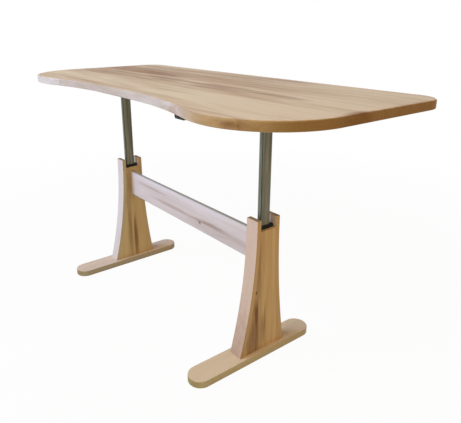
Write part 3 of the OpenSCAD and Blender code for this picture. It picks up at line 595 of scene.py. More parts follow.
@dataclass(frozen=True)
class DrawnSteel:
    """Steel with fine lines along one direction, tarnished in streaks.

    Faces that look along Y are tinted with front, a painted light, and corner is the strength of a painted
    dark reflection line on rounded upright corners.
    """

    name: str
    along: Grain
    bright: Colour
    dull: Colour
    metallic: float = 0.75
    rough: float = 0.30
    wear: float = 0.5
    dust: float = 0.35
    fineness: float = 1100.0
    front: Colour = WHITE
    corner: float = 0.0
    painted_reflection_colour: Colour = grey(0.004)
    painted_reflection_range: Range = (0.1, 0.42)
    bare: Colour = grey(0.55)
    dust_colour: Colour = linear(176, 170, 158)
    streak_range: Range = (0.3, 0.7)
    line_start: float = 0.35
    line_share: float = 0.4
    line_rough: float = 0.18
    dust_rough: float = 0.3
    wear_width: float = 0.0015
    bump: Range = (0.00005, 0.25)

    def make(self, effects: Effects) -> Material:
        """Builds the material.

        Args:
            effects: The desk's shader groups.

        Returns:
            The material.
        """
        m = Surface(self.name, effects, Metallic=self.metallic)
        marks = effects.brushed.place(m, {"Vector": m.turned(m.where, self.along), "Fineness": self.fineness})
        lines, dust = marks["Lines"], m.dust(self.dust)
        colour = m.mix(m.span(marks["Streaks"], self.streak_range), self.bright, self.dull)
        line_mask = m.times(m.minus(lines, self.line_start), self.line_share, clamp=True)
        colour = m.mix(line_mask, colour, self.dull)
        aside, ahead, _ = (m.math("ABSOLUTE", part) for part in m.split(m.normal))
        # Painted light on faces that look along Y, and a painted dark reflection line on rounded corners.
        colour = m.mix(ahead, colour, self.front, "MULTIPLY")
        painted_reflection_mask = m.times(m.span(m.times(aside, ahead), self.painted_reflection_range), self.corner)
        colour = m.mix(painted_reflection_mask, colour, self.painted_reflection_colour)
        colour = m.mix(m.wear(self.wear_width, self.wear), colour, self.bare)
        colour = m.mix(dust, colour, self.dust_colour)
        rough = m.plus(m.times(lines, self.line_rough), self.rough, m.times(dust, self.dust_rough))
        return m.end(colour, rough, lines, *self.bump)


@dataclass(frozen=True)
class Grained:
    """Powder coat, moulded plastic or a cast surface, with its own grain, worn edges and dust."""

    name: str
    colour: Colour
    worn: Colour
    rough: float
    fineness: float
    depth: float
    metallic: float = 0.0
    wear: float = 0.45
    dust: float = 0.25
    shine: float = 0.5
    dust_colour: Colour = linear(150, 145, 136)
    blotch_gain: float = 1.7
    blotch_lift: float = 0.006
    blotch_range: Range = (0.35, 0.7)
    blotch_rough: float = 0.16
    dust_rough: float = 0.3
    wear_width: float = 0.0012
    strength: float = 0.4

    def make(self, effects: Effects) -> Material:
        """Builds the material.

        Args:
            effects: The desk's shader groups.

        Returns:
            The material.
        """
        m = Surface(self.name, effects, Metallic=self.metallic, Specular_IOR_Level=self.shine)
        cast = effects.cast.place(m, {"Vector": m.where, "Fineness": self.fineness})
        blotches, dust = cast["Blotches"], m.dust(self.dust)
        paler = tuple(min(1.0, part * self.blotch_gain + self.blotch_lift) for part in self.colour)
        colour = m.mix(m.span(blotches, self.blotch_range), self.colour, paler)
        colour = m.mix(m.wear(self.wear_width, self.wear), colour, self.worn)
        colour = m.mix(dust, colour, self.dust_colour)
        smoothest = self.rough - self.blotch_rough / 2
        rough = m.plus(m.times(blotches, self.blotch_rough), smoothest, m.times(dust, self.dust_rough))
        return m.end(colour, rough, cast["Grain"], self.depth, self.strength)


@dataclass(frozen=True)
class Ease:
    """How a piece's sharp edges are cut back.

    Edges that turn more than above are cut, and edges that then turn less than smooth_below are shaded
    smooth, both in degrees.
    """

    width: float
    segments: int = 2
    above: float = 38.0
    smooth_below: float = SMOOTH_BELOW


def link(piece: bpy.types.Object) -> bpy.types.Object:
    """Puts an object into the scene and gives it back."""
    bpy.context.scene.collection.objects.link(piece)
    return piece


def show(name: str, mesh: bpy.types.Mesh, body: str, material: Material, stands_for: str = "",
         smooth_below: float = SMOOTH_BELOW) -> None:
    """Puts a finished mesh into the scene as a piece of the desk.

    Args:
        name: Name of the piece.
        mesh: Its mesh, in place.
        body: The CAD body that it moves with.
        material: Its finish.
        stands_for: The CAD node that it replaces, if any.
        smooth_below: Edges that turn less than this many degrees are shaded smooth.
    """
    mesh.name = name
    mesh.materials.clear()
    mesh.materials.append(material)
    for face in mesh.polygons:
        face.use_smooth = True
        face.material_index = 0
    mesh.set_sharp_from_angle(angle=math.radians(smooth_below))
    piece = link(bpy.data.objects.new(name, mesh))
    piece.modifiers.new("Even shading", "WEIGHTED_NORMAL").keep_sharp = True
    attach(piece, body)
    if stands_for:
        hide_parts(stands_for)
    LOG.info("%s: %d faces on %s", name, len(mesh.polygons), body)


def dress(finishes: dict[str, Material]) -> None:
    """Gives CAD nodes their finishes and leaves their meshes as they are.

    Args:
        finishes: Each node's finish, by the node's name.
    """
    for node, finish in finishes.items():
        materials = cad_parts[node].data.materials
        materials.clear()
        materials.append(finish)
        LOG.info("%s: CAD solid", node)


def merged_copy(node: str) -> bmesh.types.BMesh:
    """Copies a CAD node as one closed mesh and makes its flat faces whole.

    Args:
        node: The CAD node.

    Returns:
        The copy.
    """
    mesh = bmesh.new()
    mesh.from_mesh(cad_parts[node].data)
    bmesh.ops.remove_doubles(mesh, verts=mesh.verts, dist=MERGE_WITHIN)
    bmesh.ops.dissolve_limit(mesh, angle_limit=math.radians(FLAT_WITHIN), verts=mesh.verts, edges=mesh.edges)
    return mesh


def as_mesh(source: bmesh.types.BMesh, name: str) -> bpy.types.Mesh:
    """Turns an edit mesh into a mesh and frees it.

    Args:
        source: The edit mesh.
        name: Name of the mesh.

    Returns:
        The mesh.
    """
    mesh = bpy.data.meshes.new(name)
    source.to_mesh(mesh)
    source.free()
    return mesh


def show_smooth(name: str, node: str, body: str, material: Material) -> None:
    """Shows a copy of a CAD node with even shading, in the node's place."""
    show(name, as_mesh(merged_copy(node), node), body, material, node)


def show_eased(name: str, node: str, body: str, material: Material, ease: Ease) -> None:
    """Shows a copy of a CAD node with its sharp edges eased, in the node's place.

    Args:
        name: Name of the piece.
        node: The CAD node.
        body: The CAD body that it moves with.
        material: Its finish.
        ease: How its edges are cut back.
    """
    mesh = merged_copy(node)
    sharp = [edge for edge in mesh.edges if len(edge.link_faces) == 2 and edge.is_manifold
             and edge.calc_face_angle(0.0) > math.radians(ease.above)]
    bmesh.ops.bevel(mesh, geom=sharp, offset=ease.width, offset_type="OFFSET", segments=ease.segments,
                    profile=0.5, affect="EDGES", clamp_overlap=True)
    show(name, as_mesh(mesh, node), body, material, node, ease.smooth_below)


class NodeTree(Graph):
    """A Geometry Nodes tree with named inputs, the last of which is its material."""

    def __init__(self, name: str, *inputs: str) -> None:
        """Makes the tree, its geometry sockets and its named inputs.

        Args:
            name: Name of the tree.
            inputs: Names of its sizes.
        """
        super().__init__(bpy.data.node_groups.new(name, "GeometryNodeTree"))
        face = self.tree.interface
        face.new_socket("Geometry", in_out="INPUT", socket_type="NodeSocketGeometry")
        kinds = {title: FLOAT for title in inputs} | {"Material": "NodeSocketMaterial"}
        self.sockets = {title: face.new_socket(title, in_out="INPUT", socket_type=kind).identifier
                        for title, kind in kinds.items()}
        face.new_socket("Geometry", in_out="OUTPUT", socket_type="NodeSocketGeometry")
        self.source = self.tree.nodes.new("NodeGroupInput").outputs
        self.sink = self.tree.nodes.new("NodeGroupOutput").inputs

    def rod(self, sides: int, radius: object, height: object) -> Socket:
        """A closed cylinder along Z about the origin."""
        sizes = {"Vertices": sides, "Radius": radius, "Depth": height}
        return self.get("GeometryNodeMeshCylinder", sizes, "Mesh")

    def raised(self, geometry: object, height: object, share: float) -> Socket:
        """Geometry moved along Z by a share of a height."""
        way = self.join(z=self.times(height, share))
        return self.get("GeometryNodeTransform", {"Geometry": geometry, "Translation": way})

    def boolean(self, operation: str, shapes: dict[str, Socket]) -> Socket:
        """Exact boolean of closed shapes."""
        return self.get("GeometryNodeMeshBoolean", shapes, "Mesh", operation=operation, solver="EXACT")

    def joined(self, *parts: Socket) -> Socket:
        """Several geometries as one.

        Args:
            parts: The geometries.

        Returns:
            All of them together.
        """
        node = self.tree.nodes.new("GeometryNodeJoinGeometry")
        for part in parts:
            self.put(node.inputs[0], part)
        return node.outputs[0]

    def swept(self, path: Socket, sides: int, radius: object) -> Socket:
        """A closed round bar along a curve.

        Args:
            path: The curve.
            sides: Facets round the bar.
            radius: The bar's radius.

        Returns:
            The bar.
        """
        profile = self.get("GeometryNodeCurvePrimitiveCircle", {"Resolution": sides, "Radius": radius})
        curves = {"Curve": path, "Profile Curve": profile, "Fill Caps": True}
        return self.get("GeometryNodeCurveToMesh", curves)

    def at_points(self, shape: Socket, aimed: bool) -> None:
        """Puts a shape at each point, and ends the tree.

        Args:
            shape: The shape.
            aimed: Whether its Z is turned to the point's own attribute aim.
        """
        spots = self.get("GeometryNodeMeshToPoints", {"Mesh": self.source["Geometry"]})
        inputs = {"Points": spots, "Instance": shape}
        if aimed:
            aim = self.get("GeometryNodeInputNamedAttribute", {"Name": "aim"}, data_type="FLOAT_VECTOR")
            inputs["Rotation"] = self.get("FunctionNodeAlignRotationToVector", {"Vector": aim}, axis="Z")
        self.end(self.get("GeometryNodeInstanceOnPoints", inputs))

    def end(self, geometry: Socket) -> None:
        """Realizes the geometry, gives it the tree's material and puts it out.

        Args:
            geometry: The geometry.
        """
        real = self.get("GeometryNodeRealizeInstances", {0: geometry})
        dressed = {"Geometry": real, "Material": self.source["Material"]}
        self.put(self.sink[0], self.get("GeometryNodeSetMaterial", dressed))

    def grow(self, points: list[Point], material: Material, values: dict[str, float],
             aims: list[Point] | None = None, edges: list[tuple[int, int]] | None = None) -> bpy.types.Mesh:
        """Runs the tree on a set of points.

        Args:
            points: Places in the desk's frame.
            material: The result's finish.
            values: Values of the tree's sizes, by name.
            aims: Direction of each point.
            edges: Pairs of points that are joined, for a tree that follows a path.

        Returns:
            The result as a plain mesh.
        """
        mesh = bpy.data.meshes.new(self.tree.name)
        mesh.from_pydata(points, edges or [], [])
        if aims:
            layer = mesh.attributes.new("aim", "FLOAT_VECTOR", "POINT")
            for index, aim in enumerate(aims):
                layer.data[index].vector = aim
        carrier = link(bpy.data.objects.new(self.tree.name, mesh))
        modifier = carrier.modifiers.new("Grow", "NODES")
        modifier.node_group = self.tree
        for title, value in (values | {"Material": material}).items():
            modifier[self.sockets[title]] = value
        shown = carrier.evaluated_get(bpy.context.evaluated_depsgraph_get())
        made = bpy.data.meshes.new_from_object(shown)
        carrier.modifiers.remove(modifier)
        bpy.data.objects.remove(carrier)
        bpy.data.meshes.remove(mesh)
        return made


class ScrewTree(NodeTree):
    """Screws with a hexagon socket, one at each point, with their heads behind the point."""

    head_sides: int = 32
    shank_sides: int = 20
    socket_sides: int = 6
    socket_share: float = 1.2
    shank_share: float = 0.4999

    def __init__(self) -> None:
        """Builds the tree."""
        super().__init__("Socket screws", "Head Radius", "Head Height", "Shank Radius", "Shank Length",
                         "Socket Radius", "Rim")
        s = self.source
        radius, height, rim, shank_length = (
            s[title] for title in ("Head Radius", "Head Height", "Rim", "Shank Length"))
        straight = self.minus(height, rim)
        body = self.raised(self.rod(self.head_sides, radius, straight), straight, -0.5)
        crown = self.get("GeometryNodeMeshCone", {
            "Vertices": self.head_sides, "Radius Top": radius, "Radius Bottom": self.minus(radius, rim),
            "Depth": rim}, "Mesh")
        solid = self.boolean("UNION", {"Mesh 2": self.joined(body, self.raised(crown, height, -1.0))})
        socket = self.rod(self.socket_sides, s["Socket Radius"], self.times(height, self.socket_share))
        head = self.boolean("DIFFERENCE", {"Mesh 1": solid, "Mesh 2": self.raised(socket, height, -1.0)})
        shank = self.rod(self.shank_sides, s["Shank Radius"], shank_length)
        self.at_points(self.joined(head, self.raised(shank, shank_length, self.shank_share)), aimed=True)


class BeadTree(NodeTree):
    """Weld bead of overlapping ripples that follows a closed path."""

    roundness: int = 2
    smallest: float = 0.85
    largest: float = 1.08
    seed: int = 4

    def __init__(self) -> None:
        """Builds the tree."""
        super().__init__("Weld bead", "Step", "Bead")
        s = self.source
        path = self.get("GeometryNodeMeshToCurve", {"Mesh": s["Geometry"]})
        path = self.get("GeometryNodeResampleCurve", {"Curve": path, "Length": s["Step"]}, mode="LENGTH")
        ball = {"Radius": s["Bead"], "Subdivisions": self.roundness}
        ripple = self.get("GeometryNodeMeshIcoSphere", ball, "Mesh")
        limits = {2: self.smallest, 3: self.largest, "Seed": self.seed}
        size = self.get("FunctionNodeRandomValue", limits, 1, data_type="FLOAT")
        self.end(self.get("GeometryNodeInstanceOnPoints", {
            "Points": path, "Instance": ripple, "Scale": self.join(size, size, size)}))


class ThreadTree(NodeTree):
    """Screw thread that winds up from each point."""

    steps_per_turn: int = 18
    ridge_sides: int = 6

    def __init__(self) -> None:
        """Builds the tree."""
        super().__init__("Spindle thread", "Crest Radius", "Depth", "Turns", "Length")
        s = self.source
        line = self.minus(s["Crest Radius"], s["Depth"])
        spiral = self.get("GeometryNodeCurveSpiral", {
            "Resolution": self.steps_per_turn, "Rotations": s["Turns"], "Start Radius": line,
            "End Radius": line, "Height": s["Length"]})
        ridge = self.swept(spiral, self.ridge_sides, s["Depth"])
        self.end(self.get("GeometryNodeInstanceOnPoints", {"Points": s["Geometry"], "Instance": ridge}))


class RibTree(NodeTree):
    """Round cooling ribs at each point, with the axis of each given by its aim."""

    sides: int = 64

    def __init__(self) -> None:
        """Builds the tree."""
        super().__init__("Cooling ribs", "Outer Radius", "Thickness")
        disc = self.rod(self.sides, self.source["Outer Radius"], self.source["Thickness"])
        self.at_points(disc, aimed=True)


class VentTree(NodeTree):
    """Raised round bars, one at each point, that run along Y."""

    sides: int = 12

    def __init__(self) -> None:
        """Builds the tree."""
        super().__init__("Vent bars", "Length", "Width")
        ends = [self.join(y=self.times(self.source["Length"], share)) for share in (-0.5, 0.5)]
        line = self.get("GeometryNodeCurvePrimitiveLine", {"Start": ends[0], "End": ends[1]})
        self.at_points(self.swept(line, self.sides, self.times(self.source["Width"], 0.5)), aimed=False)


class Patterns:
    """The Geometry Nodes trees of this desk, each built once."""

    def __init__(self) -> None:
        """Builds the trees."""
        self.screws = ScrewTree()
        self.bead = BeadTree()
        self.thread = ThreadTree()
        self.ribs = RibTree()
        self.vents = VentTree()


class Finishes:
    """The desk's finishes other than the wood of each board."""

    def __init__(self, effects: Effects) -> None:
        """Builds each material once.

        Args:
            effects: The desk's shader groups.
        """
        desk, upright = Grain.ALONG_DESK, Grain.UPRIGHT
        # The lift tube's front is a painted bluish light and its corner a painted dark reflection line.
        self.tube = DrawnSteel("satin_tube_steel", upright, linear(126, 121, 99), linear(84, 80, 64),
                               front=(1.24, 1.46, 1.76), corner=0.85).make(effects)
        self.hidden_tube = DrawnSteel("plain_tube_steel", upright, linear(150, 148, 142),
                                      linear(110, 108, 102)).make(effects)
        self.plated = DrawnSteel("zinc_plated_steel", desk, linear(188, 190, 194), linear(150, 152, 156),
                                 0.95, 0.24).make(effects)
        self.ground = DrawnSteel("ground_steel", desk, linear(170, 172, 176), linear(128, 130, 134),
                                 0.95, 0.2).make(effects)
        self.bronze = DrawnSteel("bearing_bronze", desk, linear(190, 148, 82), linear(140, 102, 52),
                                 0.95, 0.3).make(effects)
        self.powder = Grained("black_powder_coat", grey(0.018), grey(0.16), 0.52, 1500.0,
                              0.00008).make(effects)
        self.moulded = Grained("black_moulded_plastic", grey(0.005), grey(0.03), 0.50, 2200.0, 0.00005,
                               dust=0.03, shine=0.2).make(effects)
        self.nylon = Grained("grey_black_nylon", grey(0.03), grey(0.09), 0.38, 3000.0, 0.00003).make(effects)
        self.key = Grained("switch_key_plastic", grey(0.012), grey(0.05), 0.45, 2600.0, 0.00004, dust=0.03,
                           shine=0.25).make(effects)
        self.cast = Grained("cast_alloy", linear(150, 152, 155), linear(205, 206, 208), 0.42, 900.0, 0.0001,
                            0.85).make(effects)
        self.circuit = Grained("circuit_lacquer", linear(30, 96, 52), linear(120, 150, 110), 0.35, 800.0,
                               0.0001).make(effects)


class Workshop:
    """What all sub-assemblies are made with: shader groups, finishes and Geometry Nodes trees."""

    def __init__(self) -> None:
        """Builds each of them once."""
        self.effects = Effects()
        self.finishes = Finishes(self.effects)
        self.patterns = Patterns()


@dataclass
class Assembly:
    """A sub-assembly of the desk."""

    shop: Workshop


@dataclass
class WorkTop(Assembly):
    """The solid beech top with its hollow front edge.

    Each streak is given by its X and Y, its reach and its strength, and those of the edge reach along Z too.
    """

    hollow_depth: float = 0.080
    hollow_half: float = 0.140
    hollow_share: float = 0.78
    front_corner: float = 0.295
    back_corner: float = 0.100
    top_round: float = 0.008
    under_round: float = 0.004
    arc_steps: int = 72
    round_steps: int = 6
    face_streaks: Rows = (
        (0.26, 0.000, 0.34, 0.085, 0.54),
        (0.62, 0.000, 0.30, 0.055, 0.45),
        (-0.20, 0.000, 0.30, 0.080, 0.52),
        (-0.42, 0.120, 0.28, 0.080, 0.30),
        (0.24, 0.385, 0.24, 0.050, 0.30),
        # The last four rows are broad zones, darker at the left and the back middle, paler at the right front
        # and right back.
        (-0.80, 0.100, 0.70, 0.340, 0.38),
        (0.00, 0.330, 0.60, 0.140, 0.20),
        (0.80, -0.260, 0.80, 0.260, -0.50),
        (0.88, 0.160, 0.40, 0.340, -0.45))
    streak_depth: float = 0.06
    edge_streaks: Rows = (
        (0.70, -0.432, 0.07, 0.030, 0.02, 0.20),
        (0.83, -0.425, 0.06, 0.040, 0.02, 0.75),
        (0.955, -0.270, 0.05, 0.090, 0.02, -0.60),
        (0.998, -0.060, 0.04, 0.130, 0.05, 0.90),
        (1.000, 0.220, 0.03, 0.260, 0.04, 0.35))
    edge_drop: float = 0.018

    def arc(self, x: float, y: float, radius: float, start: float, end: float, skip: int = 1) -> list[Range]:
        """Points of an arc.

        Args:
            x: X of its centre.
            y: Y of its centre.
            radius: Its radius.
            start: Angle of its first end, in degrees.
            end: Angle of its other end.
            skip: How many of its first points are left out, because another arc has them.

        Returns:
            X and Y of each point, in order.
        """
        turns = [math.radians(start + (end - start) * step / self.arc_steps)
                 for step in range(skip, self.arc_steps + 1)]
        return [(x + radius * math.cos(turn), y + radius * math.sin(turn)) for turn in turns]

    def outline(self, low: Vector, high: Vector, inset: float) -> list[Range]:
        """Outline of the top, from the middle of the front edge round by the right.

        Args:
            low: Lower corner of the top's box.
            high: Upper corner of it.
            inset: How far the outline is drawn in.

        Returns:
            X and Y of each point, in order.
        """
        corner_x, middle = high.x - self.front_corner, low.y + self.hollow_depth
        run = corner_x - self.hollow_half
        bend = 2 * math.atan(self.hollow_depth / run)
        hollow = run / math.sin(bend) * self.hollow_share
        swell = run / math.sin(bend) - hollow
        turn, back = math.degrees(bend), self.back_corner
        half = (self.arc(self.hollow_half, middle - hollow, hollow + inset, 90, 90 - turn, 0)
                + self.arc(corner_x, low.y + swell, swell - inset, 270 - turn, 270)
                + self.arc(corner_x, low.y + self.front_corner, self.front_corner - inset, 270, 360)
                + self.arc(high.x - back, high.y - back, back - inset, 0, 90, 0))
        return half + [(-x, y) for x, y in reversed(half)]

    def slab(self, low: Vector, high: Vector) -> bpy.types.Mesh:
        """Slab with a rounded upper and lower edge.

        Args:
            low: Lower corner of the top's box.
            high: Upper corner of it.

        Returns:
            The slab's mesh.
        """
        turns = [math.pi / 2 * step / self.round_steps for step in range(self.round_steps + 1)]
        under, upper = self.under_round, self.top_round
        levels = [(under * (1 - math.sin(turn)), low.z + under * (1 - math.cos(turn))) for turn in turns]
        levels += [(upper * (1 - math.cos(turn)), high.z - upper * (1 - math.sin(turn))) for turn in turns]
        mesh = bmesh.new()
        rings = [[mesh.verts.new((x, y, z)) for x, y in self.outline(low, high, inset)]
                 for inset, z in levels]
        count = len(rings[0])
        for below, above in zip(rings, rings[1:]):
            for k in range(count):
                after = (k + 1) % count
                mesh.faces.new((below[k], below[after], above[after], above[k]))
        caps = [mesh.faces.new(list(reversed(rings[0]))), mesh.faces.new(rings[-1])]
        bmesh.ops.triangulate(mesh, faces=caps)
        return as_mesh(mesh, "work_top")

    def build(self) -> None:
        """Builds the top with its own staves."""
        low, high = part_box("desktop")
        streaks = [HeartStreak((x, y, high.z), (*reach, self.streak_depth), strength)
                   for x, y, *reach, strength in self.face_streaks]
        streaks += [HeartStreak((x, y, high.z - self.edge_drop), tuple(reach), strength)
                    for x, y, *reach, strength in self.edge_streaks]
        # edge paints bluish light on the top's edges, and far_shade_tint, faded in over X, darker shade on
        # their right part.
        wood = Beech("beech_top", Grain.ALONG_DESK, 3.0, linear(236, 212, 186), linear(170, 125, 84),
                     linear(128, 72, 32), linear(176, 150, 84), edge=(0.84, 0.96, 1.34),
                     far_shade_tint=(0.60, 0.48, 0.30), fade=(0.42, 0.76), shade=0.27, heart_share=0.20,
                     stave=0.092, stave_change=0.4, gloss=0.03, streaks=tuple(streaks))
        show("work_top", self.slab(low, high), TOP, wood.make(self.shop.effects), "desktop")


@dataclass(frozen=True)
class ColumnWood:
    """The wood chosen for one column and its foot, with a light and a dark tone of each, and a painted shade
    for the foot's sides.

    Each streak is given by its Y and Z, its reach along them, and its strength.
    """

    seed: float
    front: tuple[Colour, Colour]
    foot: tuple[Colour, Colour]
    foot_edge: Colour
    inner_streaks: Rows = ()
    outer_streaks: Rows = ()
    front_streaks: Rows = ()


# The third colour of each is the painted shade on its foot's sides.
LEFT_WOOD = ColumnWood(
    1.0, (linear(224, 211, 215), linear(208, 193, 194)), (linear(234, 212, 199), linear(217, 193, 178)),
    (0.58, 0.61, 0.47),
    inner_streaks=((-0.032, 0.15, 0.020, 0.20, 0.66),
                   (-0.060, 0.20, 0.024, 0.27, 0.60),
                   (-0.050, 0.48, 0.040, 0.16, 0.45)))
RIGHT_WOOD = ColumnWood(
    9.0, (linear(219, 193, 180), linear(202, 171, 154)), (linear(234, 213, 189), linear(218, 194, 165)),
    (0.66, 0.70, 0.53),
    outer_streaks=((-0.085, 0.12, 0.075, 0.19, 0.80),
                   (-0.090, 0.25, 0.024, 0.09, 0.45),
                   (-0.076, 0.42, 0.042, 0.42, 0.62),
                   (-0.084, 0.318, 0.011, 0.012, 2.2)),
    # This row makes the lower part of the front board darker.
    front_streaks=((-0.15, 0.10, 0.15, 0.26, 0.22),))


@dataclass
class Column(Assembly):
    """One leg's glued column of four beech boards, and the foot that it stands on."""

    side: Side
    wood: ColumnWood
    ease: Ease = Ease(0.0011)
    stave: float = 0.35
    heart: Colour = linear(112, 70, 34)
    # pale is the front and back boards' lit tone; shaded_side_tones is the same beech with painted shade for
    # the side boards, and painted_edge_shade paints that shade on the long edges of the front and back
    # boards.
    pale: tuple[Colour, Colour] = (linear(219, 193, 180), linear(202, 171, 154))
    shaded_side_tones: tuple[Colour, Colour] = (linear(219, 191, 140), linear(195, 161, 107))
    curved_cut: Colour = linear(136, 115, 123)
    # end_grain_highlight is the side boards' end grain, lightened as a painted highlight.
    end_grain_highlight: Colour = linear(226, 198, 150)
    foot_cut: Colour = linear(200, 166, 120)
    painted_edge_shade: Colour = (0.86, 0.80, 0.44)
    side_reach: float = 0.05
    front_reach: float = 0.10

    def board(self, board: str, seed_step: float, tones: tuple[Colour, Colour],
              streaks: tuple[HeartStreak, ...] = (), **look: object) -> None:
        """Shows one upright board with eased edges.

        Args:
            board: The board's name without its side.
            seed_step: How far its seed lies from the column's.
            tones: Its light and dark tone.
            streaks: Its brown streaks.
            look: Other values of its beech.
        """
        node = f"{board}_{self.side.word}"
        wood = Beech(f"beech_{node}", Grain.UPRIGHT, self.wood.seed + seed_step, *tones, self.heart,
                     stave=self.stave, streaks=streaks, **look)
        show_eased(f"eased_{node}", node, BASE, wood.make(self.shop.effects), self.ease)

    def placed(self, streaks: Rows, x: float, reach_x: float) -> tuple[HeartStreak, ...]:
        """Streaks of one board, all at one X."""
        return tuple(HeartStreak((x, y, z), (reach_x, *reach), strength)
                     for y, z, *reach, strength in streaks)

    def build(self) -> None:
        """Builds the boards and the foot and gives each its own figure."""
        wood, node = self.wood, f"foot_{self.side.word}"
        low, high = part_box(f"front_board_{self.side.word}")
        inner_x, outer_x = (low.x, high.x) if self.side is Side.RIGHT else (high.x, low.x)
        front = self.placed(wood.front_streaks, (low.x + high.x) / 2, self.front_reach)
        inner = self.placed(wood.inner_streaks, inner_x, self.side_reach)
        outer = self.placed(wood.outer_streaks, outer_x, self.side_reach)
        # The front and back boards get painted shade on their long edges.
        curved = {"cut": self.curved_cut, "face": Axis.Y, "edge": self.painted_edge_shade}
        # The side boards' end grain gets the painted highlight.
        flat = {"cut": self.end_grain_highlight, "face": Axis.X}
        self.board("front_board", 0.0, wood.front, front, heart_share=0.08, **curved)
        self.board("back_board", 1.7, self.pale, heart_share=0.15, **curved)
        self.board("inner_board", 3.1, self.shaded_side_tones, inner, **flat)
        self.board("outer_board", 4.9, self.shaded_side_tones, outer, **flat)
        # The foot's sides get foot_edge, a painted shade.
        beech = Beech(f"beech_{node}", Grain.ALONG_FOOT, wood.seed + 6.3, *wood.foot, cut=self.foot_cut,
                      edge=wood.foot_edge, heart_share=0.06, stave=self.stave)
        show_smooth(f"rounded_{node}", node, BASE, beech.make(self.shop.effects))


@dataclass
class Rail(Assembly):
    """The stretcher between the columns and its dowels.

    Each streak is given by its X and Z, its reach along them, and its strength.
    """

    streaks: Rows = (
        (0.138, 0.466, 0.014, 0.009, 0.85),
        (0.22, 0.478, 0.20, 0.014, 0.45),
        (0.32, 0.455, 0.36, 0.050, 0.26),
        (-0.05, 0.475, 0.30, 0.014, 0.30),
        (-0.28, 0.520, 0.24, 0.014, 0.30),
        (-0.02, 0.548, 0.60, 0.032, -0.70))
    streak_depth: float = 0.05

    def build(self) -> None:
        """Builds the rail with smooth rounded edges."""
        face_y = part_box("stretcher")[0].y
        streaks = tuple(HeartStreak((x, face_y, z), (reach_x, self.streak_depth, reach_z), strength)
                        for x, z, reach_x, reach_z, strength in self.streaks)
        # edge paints shade on the rail's faces that don't look along Y.
        wood = Beech("beech_stretcher", Grain.ALONG_DESK, 21.0, linear(220, 207, 213), linear(198, 179, 177),
                     face=Axis.Y, edge=(0.50, 0.57, 0.53), heart_share=0.12, streaks=streaks)
        material = wood.make(self.shop.effects)
        show_smooth("rounded_stretcher", "stretcher", BASE, material)
        dress({"stretcher_dowels": material})


@dataclass
class Glides(Assembly):
    """Glides under the feet."""

    ease: Ease = Ease(0.0008)

    def build(self) -> None:
        """Builds the glides with eased rims."""
        show_eased("floor_glides", "foot_glides", BASE, self.shop.finishes.nylon, self.ease)


@dataclass
class LiftTube(Assembly):
    """One lift tube of drawn steel, welded under its head plate."""

    side: Side
    half_x: float = 0.010
    half_y: float = 0.025
    corner: float = 0.003
    corner_steps: int = 6
    plate: float = 0.004
    bead: float = 0.0015
    bead_step: float = 0.0022
    bead_out: float = 0.0004
    bead_drop: float = 0.0006
    ease: Ease = Ease(0.0004, 1, 60.0, 40.0)

    def weld_path(self, x: float, y: float, z: float) -> list[Point]:
        """Rounded rectangle just outside the tube.

        Args:
            x: X of the tube's axis.
            y: Y of the tube's axis.
            z: Height of the path.

        Returns:
            Its points, in order.
        """
        points = []
        radius = self.corner + self.bead_out
        for start, way_x, way_y in ((0, 1, 1), (90, -1, 1), (180, -1, -1), (270, 1, -1)):
            for step in range(self.corner_steps + 1):
                turn = math.radians(start + 90 * step / self.corner_steps)
                points.append((x + way_x * (self.half_x - self.corner) + radius * math.cos(turn),
                               y + way_y * (self.half_y - self.corner) + radius * math.sin(turn), z))
        return points

    def build(self) -> None:
        """Builds the tube with its plate, and its weld."""
        node, finish = f"lift_tube_{self.side.word}", self.shop.finishes.tube
        show_eased(f"welded_{node}", node, TOP, finish, self.ease)
        low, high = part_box(f"glide_shoe_{self.side.word}")
        weld_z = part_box(node)[1].z - self.plate - self.bead_drop
        path = self.weld_path((low.x + high.x) / 2, (low.y + high.y) / 2, weld_z)
        loop = [(k, (k + 1) % len(path)) for k in range(len(path))]
        sizes = {"Step": self.bead_step, "Bead": self.bead}
        weld = self.shop.patterns.bead.grow(path, finish, sizes, edges=loop)
        show(f"weld_{self.side.word}", weld, TOP, finish)


